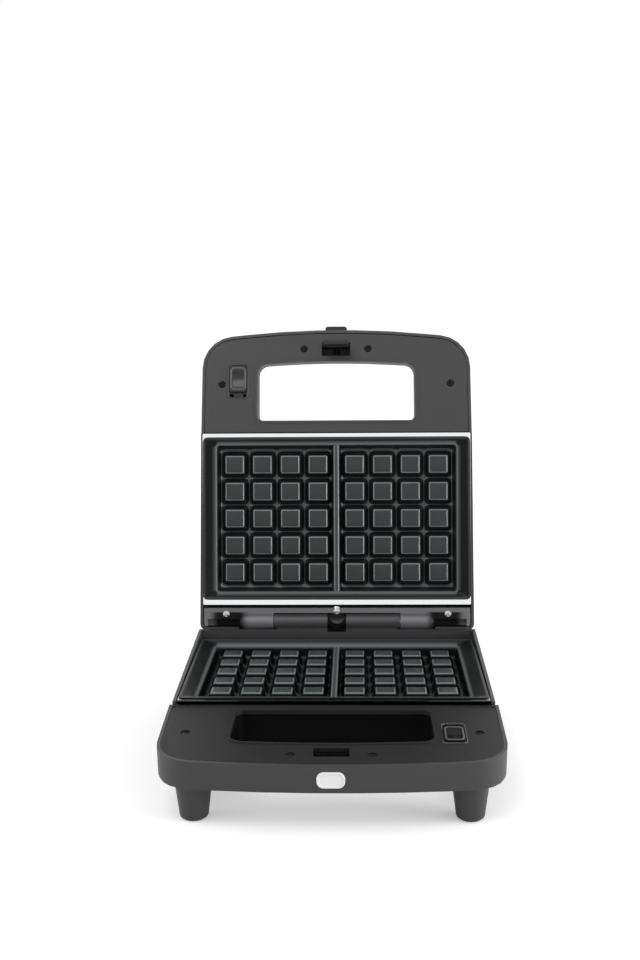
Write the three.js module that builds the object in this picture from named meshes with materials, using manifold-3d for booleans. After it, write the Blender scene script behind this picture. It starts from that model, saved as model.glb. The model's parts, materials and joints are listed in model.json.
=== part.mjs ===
// Waffle and sandwich maker, standing open. Millimetres, +Z up, the user stands at -Y.
// The two halves are one design. Each half is drawn as the lower one, with z = 0 on the plane
// where the closed plates meet, y = 0 under the hinge axis and the handle towards -y.
// The upper half is the lower one turned half round about Y and then swung open about the hinge.
import * as THREE from 'three';
import { mergeVertices } from 'three/addons/utils/BufferGeometryUtils.js';
import Module from 'manifold-3d';

const wasm = await Module();
wasm.setup();

// Overall arrangement
const openAngleDeg = 99;
const closeTiltDeg = 2.8;
const hingeRise = 8.65;
const halfDepth = 37.35;
const wall = 2.3;
const coverThickness = 2.6;
const clearance = 0.3;
const seamGap = 0.5;
const overrun = 5;
const cornerSteps = 5;
const roundSides = 16;
const smallSides = 8;

// Outlines of the two halves, seen from above
const baseHalfRear = 115.1;
const baseFlare = 1;
const deckOutset = 1.9;
const baseHalfFront = baseHalfRear + baseFlare;
const baseDeckHalf = baseHalfFront + deckOutset;
const baseFront = 249.2;
const baseRear = -9;
const lidOutset = 0.3;
const lidTaper = 2;
const lidHalfRear = baseHalfRear + lidOutset;
const lidHalfFront = lidHalfRear - lidTaper;
const lidFront = 246.4;
const lidRear = -7.6;
const frontCornerRadius = 28;
const rearCornerRadius = 6;
const frontBowShare = 0.1;
const frontBowReachShare = 0.68;
const edgeRadius = 4;
const edgeInsetShare = 0.8;
const edgeMiddleShare = 0.3;
const edgeRiseShare = 0.25;
const sideDraft = 1.2;

// Handle decks
const junction = 158.5;
const deckDrop = 7.95;
const deckSlopeDeg = 5.9;
const tanSlope = Math.tan(THREE.MathUtils.degToRad(deckSlopeDeg));
const stripDrop = 4.9;

// Rims of the housings beside the plates and at the hinge
const baseRimRise = 4.35;
const baseRimWallFront = 12;
const baseRimWallRear = 7.8;
const baseRimFrontDrop = 5.6;
const baseLedgeDrop = 3.35;
const lidRimDrop = 6.65;
const lidHingeCoverFront = 11.6;

// Handle openings
const openingSide = 50.2;
const openingFlare = 1.5;
const baseOpeningHalfRear = baseDeckHalf - openingSide;
const baseOpeningHalfFront = baseOpeningHalfRear + openingFlare;
const lidOpeningSide = 47.2;
const lidOpeningHalfRear = lidHalfFront - lidOpeningSide + clearance;
const lidOpeningHalfFront = lidHalfFront - lidOpeningSide;
const openingSetback = 10.5;
const openingRear = junction + openingSetback;
const openingFront = 217.4;
const lidOpeningFront = 219;
const openingFrontRadius = 8.5;
const openingRearRadius = 5;
const openingBowShare = 0.062;
const openingBowReachShare = 0.72;
const openingWall = 2.4;
const lipWidth = 2;
const lipRise = 0.6;

// Waffle plates
const panSideRoom = 3.1;
const plateSideRoom = 0.3;
const panHalfWidth = baseHalfRear - panSideRoom;
const plateHalfWidth = panHalfWidth - plateSideRoom;
const plateRear = 19;
const stripWidth = 4;
const plateFront = junction - stripWidth;
const plateCornerRadius = 4;
const crestDrop = 0.85;
const crestFrontDrop = 4;
const crestWidth = 2;
const rimDrop = 4.6;
const borderWidth = 11.5;
const fieldHalfWidth = plateHalfWidth - borderWidth;
const endBorder = 6.6;
const fieldRear = plateRear + endBorder;
const fieldFront = plateFront - endBorder;
const fieldDrop = 5.55;
const fieldRadius = 2.5;
const cellRows = 5;
const cellColumns = 4;
const dividerSpace = 8.6;
const fieldSideMargin = 4.6;
const fieldEndMargin = 4.65;
const cellGapX = 8.4;
const cellGapY = 8.9;
const cellPitchX = (fieldHalfWidth - dividerSpace / 2 - fieldSideMargin) / cellColumns;
const cellPitchY = (fieldFront - fieldRear - 2 * fieldEndMargin) / cellRows;
const cellDepth = 9;
const cellTopX = cellPitchX - cellGapX;
const cellTopY = cellPitchY - cellGapY;
const valleyWidth = 0.9;
const plateSkin = 3.4;
const dividerTopWidth = 3;
const dividerFootWidth = 6;
const plateTabWidth = 9;
const plateTabReach = 2.6;
const plateTabThickness = 1.4;
const plateTabX = plateHalfWidth - 2 * plateTabWidth - plateTabReach;

// Reflector pans and heaters
const panEndRoom = 3.5;
const panRearRoom = 4.4;
const panRear = plateRear - panRearRoom;
const panFront = plateFront + panEndRoom;
const panSheet = 0.9;
const panWallInset = 5.6;
const panDepth = 26;
const panPostInset = 42;
const panPostRearInset = 25.4;
const panPostFrontInset = 24;
const panPostX = panHalfWidth - panPostInset;
const panPostRear = panRear + panPostRearInset;
const panPostFront = panFront - panPostFrontInset;
const panRadius = 5;
const heaterRadius = 3.2;
const heaterSideInset = 34;
const heaterEndInset = 26.5;
const heaterHalfWidth = plateHalfWidth - heaterSideInset;
const heaterRear = plateRear + heaterEndInset;
const heaterFront = plateFront - heaterEndInset;
const heaterBend = 16;
const heaterSteps = 36;
const heaterHalfSides = 4;

// Screws, their bosses and their recesses
const screwHeadRadius = 2.9;
const screwHeadHeight = 1.7;
const screwShankRadius = 1.5;
const screwLength = 9;
const hingeScrewLength = 14;
const screwSink = 0.5;
const bossRadius = 3.8;
const baseScrewSide = 18.3;
const lidScrewSide = 17.6;
const baseScrewX = baseDeckHalf - baseScrewSide;
const baseScrewY = 201.3;
const lidScrewX = lidHalfFront - lidScrewSide;
const lidScrewY = 200;
const innerScrewX = 26.8;
const baseInnerScrewY = 232.6;
const lidInnerScrewY = 229.8;
const hingeScrewSide = 22.3;
const lidHingeScrewX = lidHalfRear - hingeScrewSide;
const lidHingeScrewY = 6.2;
const lidMiddleScrewY = 8.6;

// Plate release sliders
const sliderSide = 32.5;
const sliderX = baseHalfRear - sliderSide;
const slotWidth = 14.8;
const slotRear = 188.6;
const slotFront = 216;
const slotRadius = 2.4;
const sliderTravel = 4.4;
const buttonLength = 22;
const buttonRise = 1.3;
const buttonRadius = 2.2;
const dishRadius = 17;
const dishDepth = 1.5;
const sliderFlange = 2;
const sliderSheet = 1.7;
const tongueWidth = 8;
const tongueEnd = 163;
const returnSpringRadius = 2.1;
const springWireRadius = 0.45;
const springTurns = 6;
const stepsPerTurn = 8;
const wireSides = 5;
const returnSpringLength = 11;

// Latch
const latchHalfWidth = 10.6;
const windowHalfWidth = 12;
const windowRear = 223.6;
const windowFront = 235.2;
const latchPivotY = 236.2;
const latchPivotDrop = 25.2;
const latchPinRadius = 1.5;
const latchEyeRadius = 3.6;
const latchArmRear = 230.8;
const latchArmThickness = 3;
const latchBarbReach = 2.1;
const latchBarbHeight = 3;
const latchBarbPlay = 0.6;
const keeperRear = 223.9;
const keeperWidth = 2.9;
const keeperThickness = 2;
const keeperOverhang = 4;
const tabHalfWidth = 9.2;
const tabReach = 3.2;
const tabThickness = 5.2;
const tabRadius = 2.4;
const tabDrop = 27.5;
const tabSlotMargin = 1.2;
const latchSpringLength = 5;
const latchSpringRadius = 2.6;
const latchSpringTurns = 3;
const latchSpringRise = 2.2;
const latchSpringPlay = 0.8;
const latchSeatHalfWidth = 5;
const latchSeatThickness = 2;

// Hinge
const barrelRadius = 7;
const barrelHalfLength = 52.6;
const barrelWebHalf = 50;
const barrelWebThickness = 9;
const knuckleLength = 28.6;
const knuckleEndRadius = 4.6;
const hingeSideGap = 0.5;
const hingeTroughGap = 0.9;
const hingePinRadius = 2;
const hingePinInset = 22;
const hingePinTip = 3.4;
const coverSlabShare = 1.9;
const driverNotchRadius = 7.4;
const driverNotchRise = 4;

// Feet
const footSide = 22.6;
const footX = baseHalfRear - footSide;
const footFrontY = 222;
const footRearY = 24;
const footTopRadius = 12.8;
const footBottomRadius = 9.8;
const footHeight = 25.5;
const footEdge = 1.6;
const padRadius = 7.4;
const padThickness = 3;
const padProud = 1;

// Indicator
const lensHalfWidth = 9.3;
const lensHalfHeight = 5.4;
const lensRadius = 4.6;
const lensDrop = 26.9;
const lensProud = 1;
const lensFlange = 1.4;
const lampBoardHalfWidth = 11;
const lampBoardHeight = 11;
const lampBoardThickness = 1.6;
const lampRadius = 2.2;
const lampLength = 4.4;
const lampBoardSetback = 9;

// Wiring parts inside the base, and the cord inlet
const blockLength = 26;
const blockWidth = 12;
const blockHeight = 9;
const blockSide = 27.6;
const blockX = blockSide - baseHalfRear;
const blockY = 222;
const thermostatRadius = 8;
const thermostatHeight = 4.6;
const thermostatX = 36;
const thermostatY = 86;
const fuseRadius = 1.9;
const fuseLength = 24;
const fuseX = -36;
const glandRadius = 6.4;
const glandFlangeRadius = 8.6;
const glandFlange = 1.8;
const glandBoreRadius = 3.4;
const glandLength = 14;
const glandSide = 27.6;
const glandX = baseHalfRear - glandSide;
const glandDrop = 22;
const ventLength = 42;
const ventWidth = 3.2;
const ventPitch = 11;
const ventRows = 5;
const ventX = 44;

const quarter = Math.PI / 2;

// Joins the shared corners of a geometry and makes it a solid that can be cut.
function solid(geometry) {
  const bare = new THREE.BufferGeometry();
  bare.setAttribute('position', geometry.getAttribute('position'));
  if (geometry.index) bare.setIndex(geometry.index);
  const joined = mergeVertices(bare);
  const vertProperties = Float32Array.from(joined.attributes.position.array);
  const triVerts = Uint32Array.from(joined.index.array);
  return new wasm.Manifold(new wasm.Mesh({ numProp: 3, vertProperties, triVerts }));
}

// Turns a finished solid back into a geometry.
function geometryOf(body) {
  const mesh = body.getMesh();
  const geometry = new THREE.BufferGeometry();
  geometry.setAttribute('position', new THREE.BufferAttribute(Float32Array.from(mesh.vertProperties), 3));
  geometry.setIndex(Array.from(mesh.triVerts));
  return geometry;
}

function join(bodies) {
  return bodies.reduce((whole, body) => whole.add(body));
}

function cut(body, tools) {
  return tools.reduce((left, tool) => left.subtract(tool), body);
}

// Block between two corners.
function block(x0, x1, y0, y1, z0, z1) {
  const geometry = new THREE.BoxGeometry(x1 - x0, y1 - y0, z1 - z0);
  geometry.translate((x0 + x1) / 2, (y0 + y1) / 2, (z0 + z1) / 2);
  return solid(geometry);
}

// Cylinder along z from z0 to z1; the two radii may differ.
function post(x, y, z0, z1, lowRadius, highRadius = lowRadius, sides = roundSides) {
  const geometry = new THREE.CylinderGeometry(highRadius, lowRadius, z1 - z0, sides);
  geometry.rotateX(quarter);
  geometry.translate(x, y, (z0 + z1) / 2);
  return solid(geometry);
}

// Cylinder along x from x0 to x1.
function rod(x0, x1, y, z, radius, sides = roundSides) {
  const geometry = new THREE.CylinderGeometry(radius, radius, x1 - x0, sides);
  geometry.rotateZ(quarter);
  geometry.translate((x0 + x1) / 2, y, z);
  return solid(geometry);
}

// Cylinder along y from y0 to y1.
function bar(x, y0, y1, z, radius, sides = roundSides) {
  const geometry = new THREE.CylinderGeometry(radius, radius, y1 - y0, sides);
  geometry.translate(x, (y0 + y1) / 2, z);
  return solid(geometry);
}

// Closed body through a stack of loops with equal counts, each loop turning anticlockwise
// seen from above, lowest loop first; a fan closes both ends.
function loft(loops) {
  const count = loops[0].length;
  const points = [];
  const faces = [];
  loops.forEach((loop) => loop.forEach((p) => points.push(p.x, p.y, p.z)));
  for (let k = 0; k < loops.length - 1; k += 1) {
    for (let i = 0; i < count; i += 1) {
      const a = k * count + i;
      const b = k * count + (i + 1) % count;
      faces.push(a, b, b + count, a, b + count, a + count);
    }
  }
  const lowCentre = points.length / 3;
  const highCentre = lowCentre + 1;
  [loops[0], loops[loops.length - 1]].forEach((loop) => {
    const centre = loop.reduce((sum, p) => sum.add(p), new THREE.Vector3()).divideScalar(count);
    points.push(centre.x, centre.y, centre.z);
  });
  const top = (loops.length - 1) * count;
  for (let i = 0; i < count; i += 1) {
    const next = (i + 1) % count;
    faces.push(lowCentre, next, i, highCentre, top + i, top + next);
  }
  const geometry = new THREE.BufferGeometry();
  geometry.setAttribute('position', new THREE.BufferAttribute(Float32Array.from(points), 3));
  geometry.setIndex(faces);
  return solid(geometry);
}

// Outline of a convex polygon with every corner rounded; corners are [x, y, radius].
function rounded(corners, steps = cornerSteps) {
  const path = [];
  corners.forEach(([x, y, radius], i) => {
    const [bx, by] = corners[(i + corners.length - 1) % corners.length];
    const [ax, ay] = corners[(i + 1) % corners.length];
    const inward = new THREE.Vector2(x - bx, y - by).normalize();
    const outward = new THREE.Vector2(ax - x, ay - y).normalize();
    const turn = Math.atan2(inward.cross(outward), inward.dot(outward));
    const reach = radius * Math.tan(turn / 2);
    const centre = new THREE.Vector2(x, y).addScaledVector(inward, -reach);
    centre.add(new THREE.Vector2(-inward.y, inward.x).multiplyScalar(radius));
    const first = Math.atan2(-inward.x, inward.y);
    for (let s = 0; s <= steps; s += 1) {
      const angle = first + turn * s / steps;
      path.push(new THREE.Vector2(centre.x + radius * Math.cos(angle), centre.y + radius * Math.sin(angle)));
    }
  });
  return path;
}

function atHeight(path, z) {
  return path.map((p) => new THREE.Vector3(p.x, p.y, z));
}

// Upright prism on an outline.
function prism(path, z0, z1) {
  return loft([atHeight(path, z0), atHeight(path, z1)]);
}

function rectangle(halfWidth, rear, front, radius) {
  return rounded([
    [halfWidth, -rear, radius], [-halfWidth, -rear, radius],
    [-halfWidth, -front, radius], [halfWidth, -front, radius],
  ]);
}

// Outline with straight sides and a bowed front edge, made smaller all round by an inset.
function bowed(shape, inset = 0) {
  const halfRear = shape.halfRear - inset;
  const halfFront = shape.halfFront - inset;
  const rear = shape.rear + inset;
  const front = shape.front - inset;
  const reach = halfFront * shape.bowReachShare;
  const apex = front + shape.bowShare * reach / 2;
  const corner = apex - shape.bowShare * halfFront;
  const rearRadius = Math.max(shape.rearRadius - inset, clearance);
  const frontRadius = Math.max(shape.frontRadius - inset, clearance);
  return rounded([
    [halfRear, -rear, rearRadius], [-halfRear, -rear, rearRadius],
    [-halfFront, -corner, frontRadius], [0, -apex, reach / shape.bowShare],
    [halfFront, -corner, frontRadius],
  ]);
}

// Body with one side-view outline of [y, z] points between two widths.
function sidePlate(x0, x1, points) {
  const geometry = new THREE.ExtrudeGeometry(new THREE.Shape(points.map(([y, z]) => new THREE.Vector2(y, z))), {
    depth: x1 - x0, bevelEnabled: false,
  });
  const toSide = new THREE.Matrix4().makeBasis(
    new THREE.Vector3(0, 1, 0), new THREE.Vector3(0, 0, 1), new THREE.Vector3(1, 0, 0));
  geometry.applyMatrix4(toSide);
  geometry.translate(x0, 0, 0);
  return solid(geometry);
}

// Leans a body that was drawn level, so that it follows the deck down towards the handle's front.
function lean(body) {
  const geometry = geometryOf(body);
  const position = geometry.attributes.position;
  for (let i = 0; i < position.count; i += 1) {
    position.setZ(i, position.getZ(i) - tanSlope * (-position.getY(i) - junction));
  }
  return solid(geometry);
}

function deckHeight(y) {
  return -deckDrop - tanSlope * (y - junction);
}

// One unbroken coil of round wire about the y axis, starting at y0.
function coil(x, y0, z, radius, length, turns) {
  const steps = turns * stepsPerTurn;
  const rings = [];
  for (let s = 0; s <= steps; s += 1) {
    const angle = 2 * Math.PI * s / stepsPerTurn;
    const out = new THREE.Vector3(Math.cos(angle), 0, Math.sin(angle));
    const centre = new THREE.Vector3(x, y0 + length * s / steps, z).addScaledVector(out, radius);
    const ring = [];
    for (let k = 0; k < wireSides; k += 1) {
      const phase = 2 * Math.PI * k / wireSides;
      const point = centre.clone().addScaledVector(out, springWireRadius * Math.cos(phase));
      point.y += springWireRadius * Math.sin(phase);
      ring.push(point);
    }
    rings.push(ring);
  }
  let least = length;
  for (let s = 0; s + stepsPerTurn <= steps; s += 1) {
    least = Math.min(least, rings[s][0].distanceTo(rings[s + stepsPerTurn][0]) - 2 * springWireRadius);
  }
  console.log(`coil of ${turns} turns, least gap ${least.toFixed(2)} mm`);
  return loft(rings);
}

const coverInset = wall + sideDraft + clearance;
const keeperDrop = coverThickness + clearance;

// Inset of the drafted outer wall at a drop below the parting plane.
function draftAt(drop) {
  const top = baseRimRise + overrun;
  return sideDraft * (top + drop) / (top + halfDepth - edgeRadius);
}
const lensWallY = -baseFront + draftAt(lensDrop);
const baseWallRearY = -baseRear - draftAt(glandDrop);

const hingeScrewSpots = [
  [-lidHingeScrewX, lidHingeScrewY], [lidHingeScrewX, lidHingeScrewY], [0, lidMiddleScrewY],
];
const baseShape = {
  halfRear: baseHalfRear, halfFront: baseHalfFront, rear: baseRear, front: baseFront,
  rearRadius: rearCornerRadius, frontRadius: frontCornerRadius,
  bowShare: frontBowShare, bowReachShare: frontBowReachShare,
};
const lidShape = {
  ...baseShape, halfRear: lidHalfRear, halfFront: lidHalfFront, rear: lidRear, front: lidFront,
};
const baseDeckShape = { ...baseShape, halfRear: baseDeckHalf, halfFront: baseDeckHalf };
const baseOpening = {
  halfRear: baseOpeningHalfRear, halfFront: baseOpeningHalfFront, rear: openingRear, front: openingFront,
  rearRadius: openingRearRadius, frontRadius: openingFrontRadius,
  bowShare: openingBowShare, bowReachShare: openingBowReachShare,
};
const lidOpening = {
  ...baseOpening, halfRear: lidOpeningHalfRear, halfFront: lidOpeningHalfFront, front: lidOpeningFront,
};

// Room inside a housing, with walls that keep one thickness down their draft.
function hollow(shape, high) {
  return loft([
    atHeight(bowed(shape, wall + sideDraft), -halfDepth + wall), atHeight(bowed(shape, wall), high),
  ]);
}

// Outer body of a housing: a bowed tray with rounded lower edges.
function tray(shape) {
  return loft([
    atHeight(bowed(shape, sideDraft + edgeRadius * edgeInsetShare), -halfDepth),
    atHeight(bowed(shape, sideDraft + edgeRadius * edgeMiddleShare), -halfDepth + edgeRadius * edgeRiseShare),
    atHeight(bowed(shape, sideDraft), -halfDepth + edgeRadius),
    atHeight(bowed(shape), baseRimRise + overrun),
  ]);
}

// The part of a body in front of a line across the half.
function inFront(body, shape, line) {
  const width = 2 * (shape.halfFront + overrun);
  return body.intersect(block(-width, width, -shape.front - width, -line, -2 * halfDepth, 2 * halfDepth));
}

// Half housing without its feet or hinge parts: a tray that widens at the deck, a tube round
// the handle opening, and screw bosses under the deck.
function housing(shape, deckShape, opening, topProfile, cavities, screws) {
  const outer = tray(shape).add(inFront(tray(deckShape), deckShape, junction));
  const width = 2 * (Math.max(shape.halfRear, shape.halfFront) + overrun);
  let body = outer.subtract(sidePlate(-width / 2, width / 2, topProfile));
  body = cut(body, cavities);
  const seat = coverThickness + clearance;
  const aboveSeat = lean(block(-width, width, -shape.front - width, -junction + wall,
    -deckDrop - seat, halfDepth));
  const floor = -halfDepth + wall / 2;
  const tube = prism(bowed(opening, -openingWall), floor, -deckDrop);
  const bosses = screws.map(([x, y]) => post(x, -y, floor, -deckDrop, bossRadius));
  const panPosts = [-1, 1].flatMap((side) => [panPostRear, panPostFront].map((y) => (
    post(side * panPostX, -y, floor, -panDepth - clearance, bossRadius))));
  body = join([cut(join([tube, ...bosses]), [aboveSeat]), body, ...panPosts]);
  const hole = prism(bowed(opening), -halfDepth - overrun, baseRimRise + overrun);
  const screwHoles = screws.map(([x, y]) => {
    const top = deckHeight(y);
    return post(x, -y, top - screwLength - seat, top, screwShankRadius + clearance, undefined, smallSides);
  });
  return cut(body, [hole, ...screwHoles]);
}

// Deck of a handle: set into the housing's rim, pierced by the opening, the release slot,
// the latch window and the screw recesses, with a raised lip round the opening.
function handleCover(shape, opening, screws, side) {
  const inner = bowed(shape, coverInset);
  const width = shape.halfFront + wall;
  const slab = prism(inner, -deckDrop - coverThickness, -deckDrop);
  const rearLip = prism(inner, -deckDrop - coverThickness * 2.4, -deckDrop);
  const keep = block(-width, width, -shape.front, -junction - seamGap, -halfDepth, 0);
  const lipKeep = block(-width, width, -junction - seamGap - wall, -junction - seamGap, -halfDepth, 0);
  let body = slab.intersect(keep).add(rearLip.intersect(lipKeep));
  const lip = prism(bowed(opening, -lipWidth), -deckDrop - coverThickness / 2, -deckDrop + lipRise);
  body = body.add(lip);
  const low = -deckDrop - coverThickness - overrun * 2;
  const high = -deckDrop + overrun;
  const slotHalf = slotWidth / 2;
  const slot = prism(rounded([
    [side * sliderX + slotHalf, -slotRear, slotRadius], [side * sliderX - slotHalf, -slotRear, slotRadius],
    [side * sliderX - slotHalf, -slotFront, slotRadius], [side * sliderX + slotHalf, -slotFront, slotRadius],
  ]), low, high);
  const tongueHalf = tongueWidth / 2 + clearance;
  const tongueNotch = block(side * sliderX - tongueHalf, side * sliderX + tongueHalf,
    -tongueEnd - overrun, -junction + overrun, low, -deckDrop - coverThickness);
  const window = prism(rectangle(windowHalfWidth, windowRear, windowFront, seamGap), low, high);
  const recesses = screws.flatMap(([x, y]) => [
    post(x, -y, -deckDrop - screwSink - screwHeadHeight - clearance, high, screwHeadRadius + clearance),
    post(x, -y, low, high, screwShankRadius + clearance, undefined, smallSides),
  ]);
  return lean(cut(body, [prism(bowed(opening), low, high), slot, tongueNotch, window, ...recesses]));
}

// Height of a plate's crest, which falls from the rear to the front.
function crestHeight(y) {
  const share = (y - plateRear) / (plateFront - plateRear);
  return -crestDrop - (crestFrontDrop - crestDrop) * share;
}

function atCrest(path, rise = 0) {
  return path.map((p) => new THREE.Vector3(p.x, p.y, crestHeight(-p.y) + rise));
}

// Die-cast waffle plate: a crest that falls towards the front, a sloped border, and a sunk
// field of square pegs in two groups beside a divider.
function wafflePlate() {
  const crest = rectangle(plateHalfWidth, plateRear, plateFront, plateCornerRadius);
  const floor = -fieldDrop - cellDepth;
  const rim = loft([atHeight(crest, -rimDrop), atCrest(crest)]);
  const belly = prism(rectangle(
    fieldHalfWidth + plateSkin, fieldRear - plateSkin, fieldFront + plateSkin, fieldRadius + plateSkin / 2),
  floor - plateSkin, -(crestFrontDrop + rimDrop) / 2);
  const crestInner = rectangle(
    plateHalfWidth - crestWidth, plateRear + crestWidth, plateFront - crestWidth, plateCornerRadius - crestWidth / 2);
  const fieldEdge = rectangle(fieldHalfWidth, fieldRear, fieldFront, fieldRadius);
  const dish = loft([atHeight(fieldEdge, -fieldDrop), atCrest(crestInner)]);
  const dishMouth = loft([atCrest(crestInner), atHeight(crestInner, overrun)]);
  const well = prism(fieldEdge, floor, -fieldDrop);
  const pegs = [];
  const footX = (cellPitchX - valleyWidth) / 2;
  const footY = (cellPitchY - valleyWidth) / 2;
  const middleY = (fieldRear + fieldFront) / 2;
  for (let side = -1; side <= 1; side += 2) {
    for (let i = 0; i < cellColumns; i += 1) {
      for (let j = 0; j < cellRows; j += 1) {
        const x = side * (dividerSpace / 2 + cellPitchX * (i + 0.5));
        const y = -middleY + cellPitchY * (j - (cellRows - 1) / 2);
        const loop = (halfX, halfY, z) => [
          new THREE.Vector3(x + halfX, y + halfY, z), new THREE.Vector3(x - halfX, y + halfY, z),
          new THREE.Vector3(x - halfX, y - halfY, z), new THREE.Vector3(x + halfX, y - halfY, z),
        ];
        pegs.push(loft([
          loop(footX, footY, floor - plateSkin / 2), loop(footX, footY, floor),
          loop(cellTopX / 2, cellTopY / 2, -fieldDrop),
        ]));
      }
    }
  }
  const divider = loft([
    atHeight(rectangle(dividerFootWidth / 2, fieldRear, fieldFront, valleyWidth), floor - plateSkin / 2),
    atHeight(rectangle(dividerTopWidth / 2, fieldRear, fieldFront, valleyWidth), -fieldDrop),
  ]);
  const innerEdge = prism(fieldEdge, floor - plateSkin, 0);
  const pattern = join([...pegs, divider]).intersect(innerEdge);
  const tabs = [-1, 1].map((side) => block(
    side * plateTabX - plateTabWidth / 2, side * plateTabX + plateTabWidth / 2,
    -plateRear - plateTabReach, -plateRear + plateTabReach,
    -crestDrop - plateTabThickness * 2, -crestDrop - plateTabThickness));
  return cut(join([rim, belly, ...tabs]), [dish, dishMouth, well]).add(pattern);
}

// Polished pan under a plate, with a flange that shows before and behind the plate.
function reflector() {
  const flangeTop = -stripDrop;
  const inset = panWallInset;
  const inner = rectangle(
    panHalfWidth - inset - panSheet, panRear + inset + panSheet, panFront - inset - panSheet, panRadius - panSheet);
  const outer = rectangle(panHalfWidth - inset, panRear + inset, panFront - inset, panRadius);
  const flange = prism(rectangle(panHalfWidth, panRear, panFront, panSheet), flangeTop - panSheet, flangeTop);
  const tub = prism(outer, -panDepth, flangeTop - panSheet / 2);
  return join([flange, tub]).subtract(prism(inner, -panDepth + panSheet, overrun));
}

// Tubular heater: one bent rod under the plate, with a gap between its two ends.
function heater() {
  const z = -fieldDrop - cellDepth - plateSkin - clearance - heaterRadius;
  const path = new THREE.CurvePath();
  const tail = heaterHalfWidth / 4;
  const corners = [
    [tail, -heaterFront], [heaterHalfWidth, -heaterFront], [heaterHalfWidth, -heaterRear],
    [-heaterHalfWidth, -heaterRear], [-heaterHalfWidth, -heaterFront], [-tail, -heaterFront],
  ];
  let from = new THREE.Vector3(corners[0][0], corners[0][1], z);
  for (let i = 1; i < corners.length; i += 1) {
    const corner = new THREE.Vector3(corners[i][0], corners[i][1], z);
    if (i === corners.length - 1) {
      path.add(new THREE.LineCurve3(from, corner));
    } else {
      const after = new THREE.Vector3(corners[i + 1][0], corners[i + 1][1], z);
      const bendIn = corner.clone().addScaledVector(corner.clone().sub(from).normalize(), -heaterBend);
      const bendOut = corner.clone().addScaledVector(after.clone().sub(corner).normalize(), heaterBend);
      path.add(new THREE.LineCurve3(from, bendIn));
      path.add(new THREE.QuadraticBezierCurve3(bendIn, corner, bendOut));
      from = bendOut;
    }
  }
  const section = new THREE.Shape();
  section.absarc(0, 0, heaterRadius, 0, 2 * Math.PI);
  return solid(new THREE.ExtrudeGeometry(section, {
    extrudePath: path, steps: heaterSteps, curveSegments: heaterHalfSides, bevelEnabled: false,
  }));
}

// Release slider: a dished button in the slot, a flange under the deck and a tongue to the plate.
function releaseSlider(side) {
  const x = side * sliderX;
  const half = slotWidth / 2 - clearance;
  const front = slotFront - clearance;
  const rear = front - buttonLength;
  const button = prism(rounded([
    [x + half, -rear, buttonRadius], [x - half, -rear, buttonRadius],
    [x - half, -front, buttonRadius], [x + half, -front, buttonRadius],
  ]), -deckDrop - coverThickness - clearance, -deckDrop + buttonRise);
  const flangeTop = -deckDrop - coverThickness - clearance;
  const flangeRear = rear - sliderFlange;
  const flange = block(x - half - sliderFlange, x + half + sliderFlange,
    -front - sliderFlange, -flangeRear, flangeTop - sliderSheet, flangeTop);
  const tongue = block(x - tongueWidth / 2, x + tongueWidth / 2, -flangeRear - sliderFlange, -tongueEnd,
    flangeTop - sliderSheet, flangeTop);
  const dishTop = -deckDrop + buttonRise - dishDepth;
  const dish = rod(x - half + buttonRadius, x + half - buttonRadius, -(rear + front) / 2,
    dishTop + dishRadius, dishRadius, roundSides * 2);
  return lean(join([button, flange, tongue]).subtract(dish));
}

function returnSpring(side) {
  const y = slotFront + sliderFlange + returnSpringLength + clearance;
  const z = -deckDrop - coverThickness - clearance - returnSpringRadius - springWireRadius;
  return lean(coil(side * sliderX, -y, z, returnSpringRadius, returnSpringLength, springTurns));
}

function screw(x, y, top, length) {
  const head = post(x, -y, top - screwHeadHeight, top, screwHeadRadius, undefined, 2 * smallSides);
  const shank = post(x, -y, top - screwHeadHeight - length + clearance, top - screwHeadHeight / 2,
    screwShankRadius, undefined, smallSides);
  return head.add(shank);
}

function deckScrew(x, y) {
  return lean(screw(x, y, -deckDrop - screwSink, screwLength));
}

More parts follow.
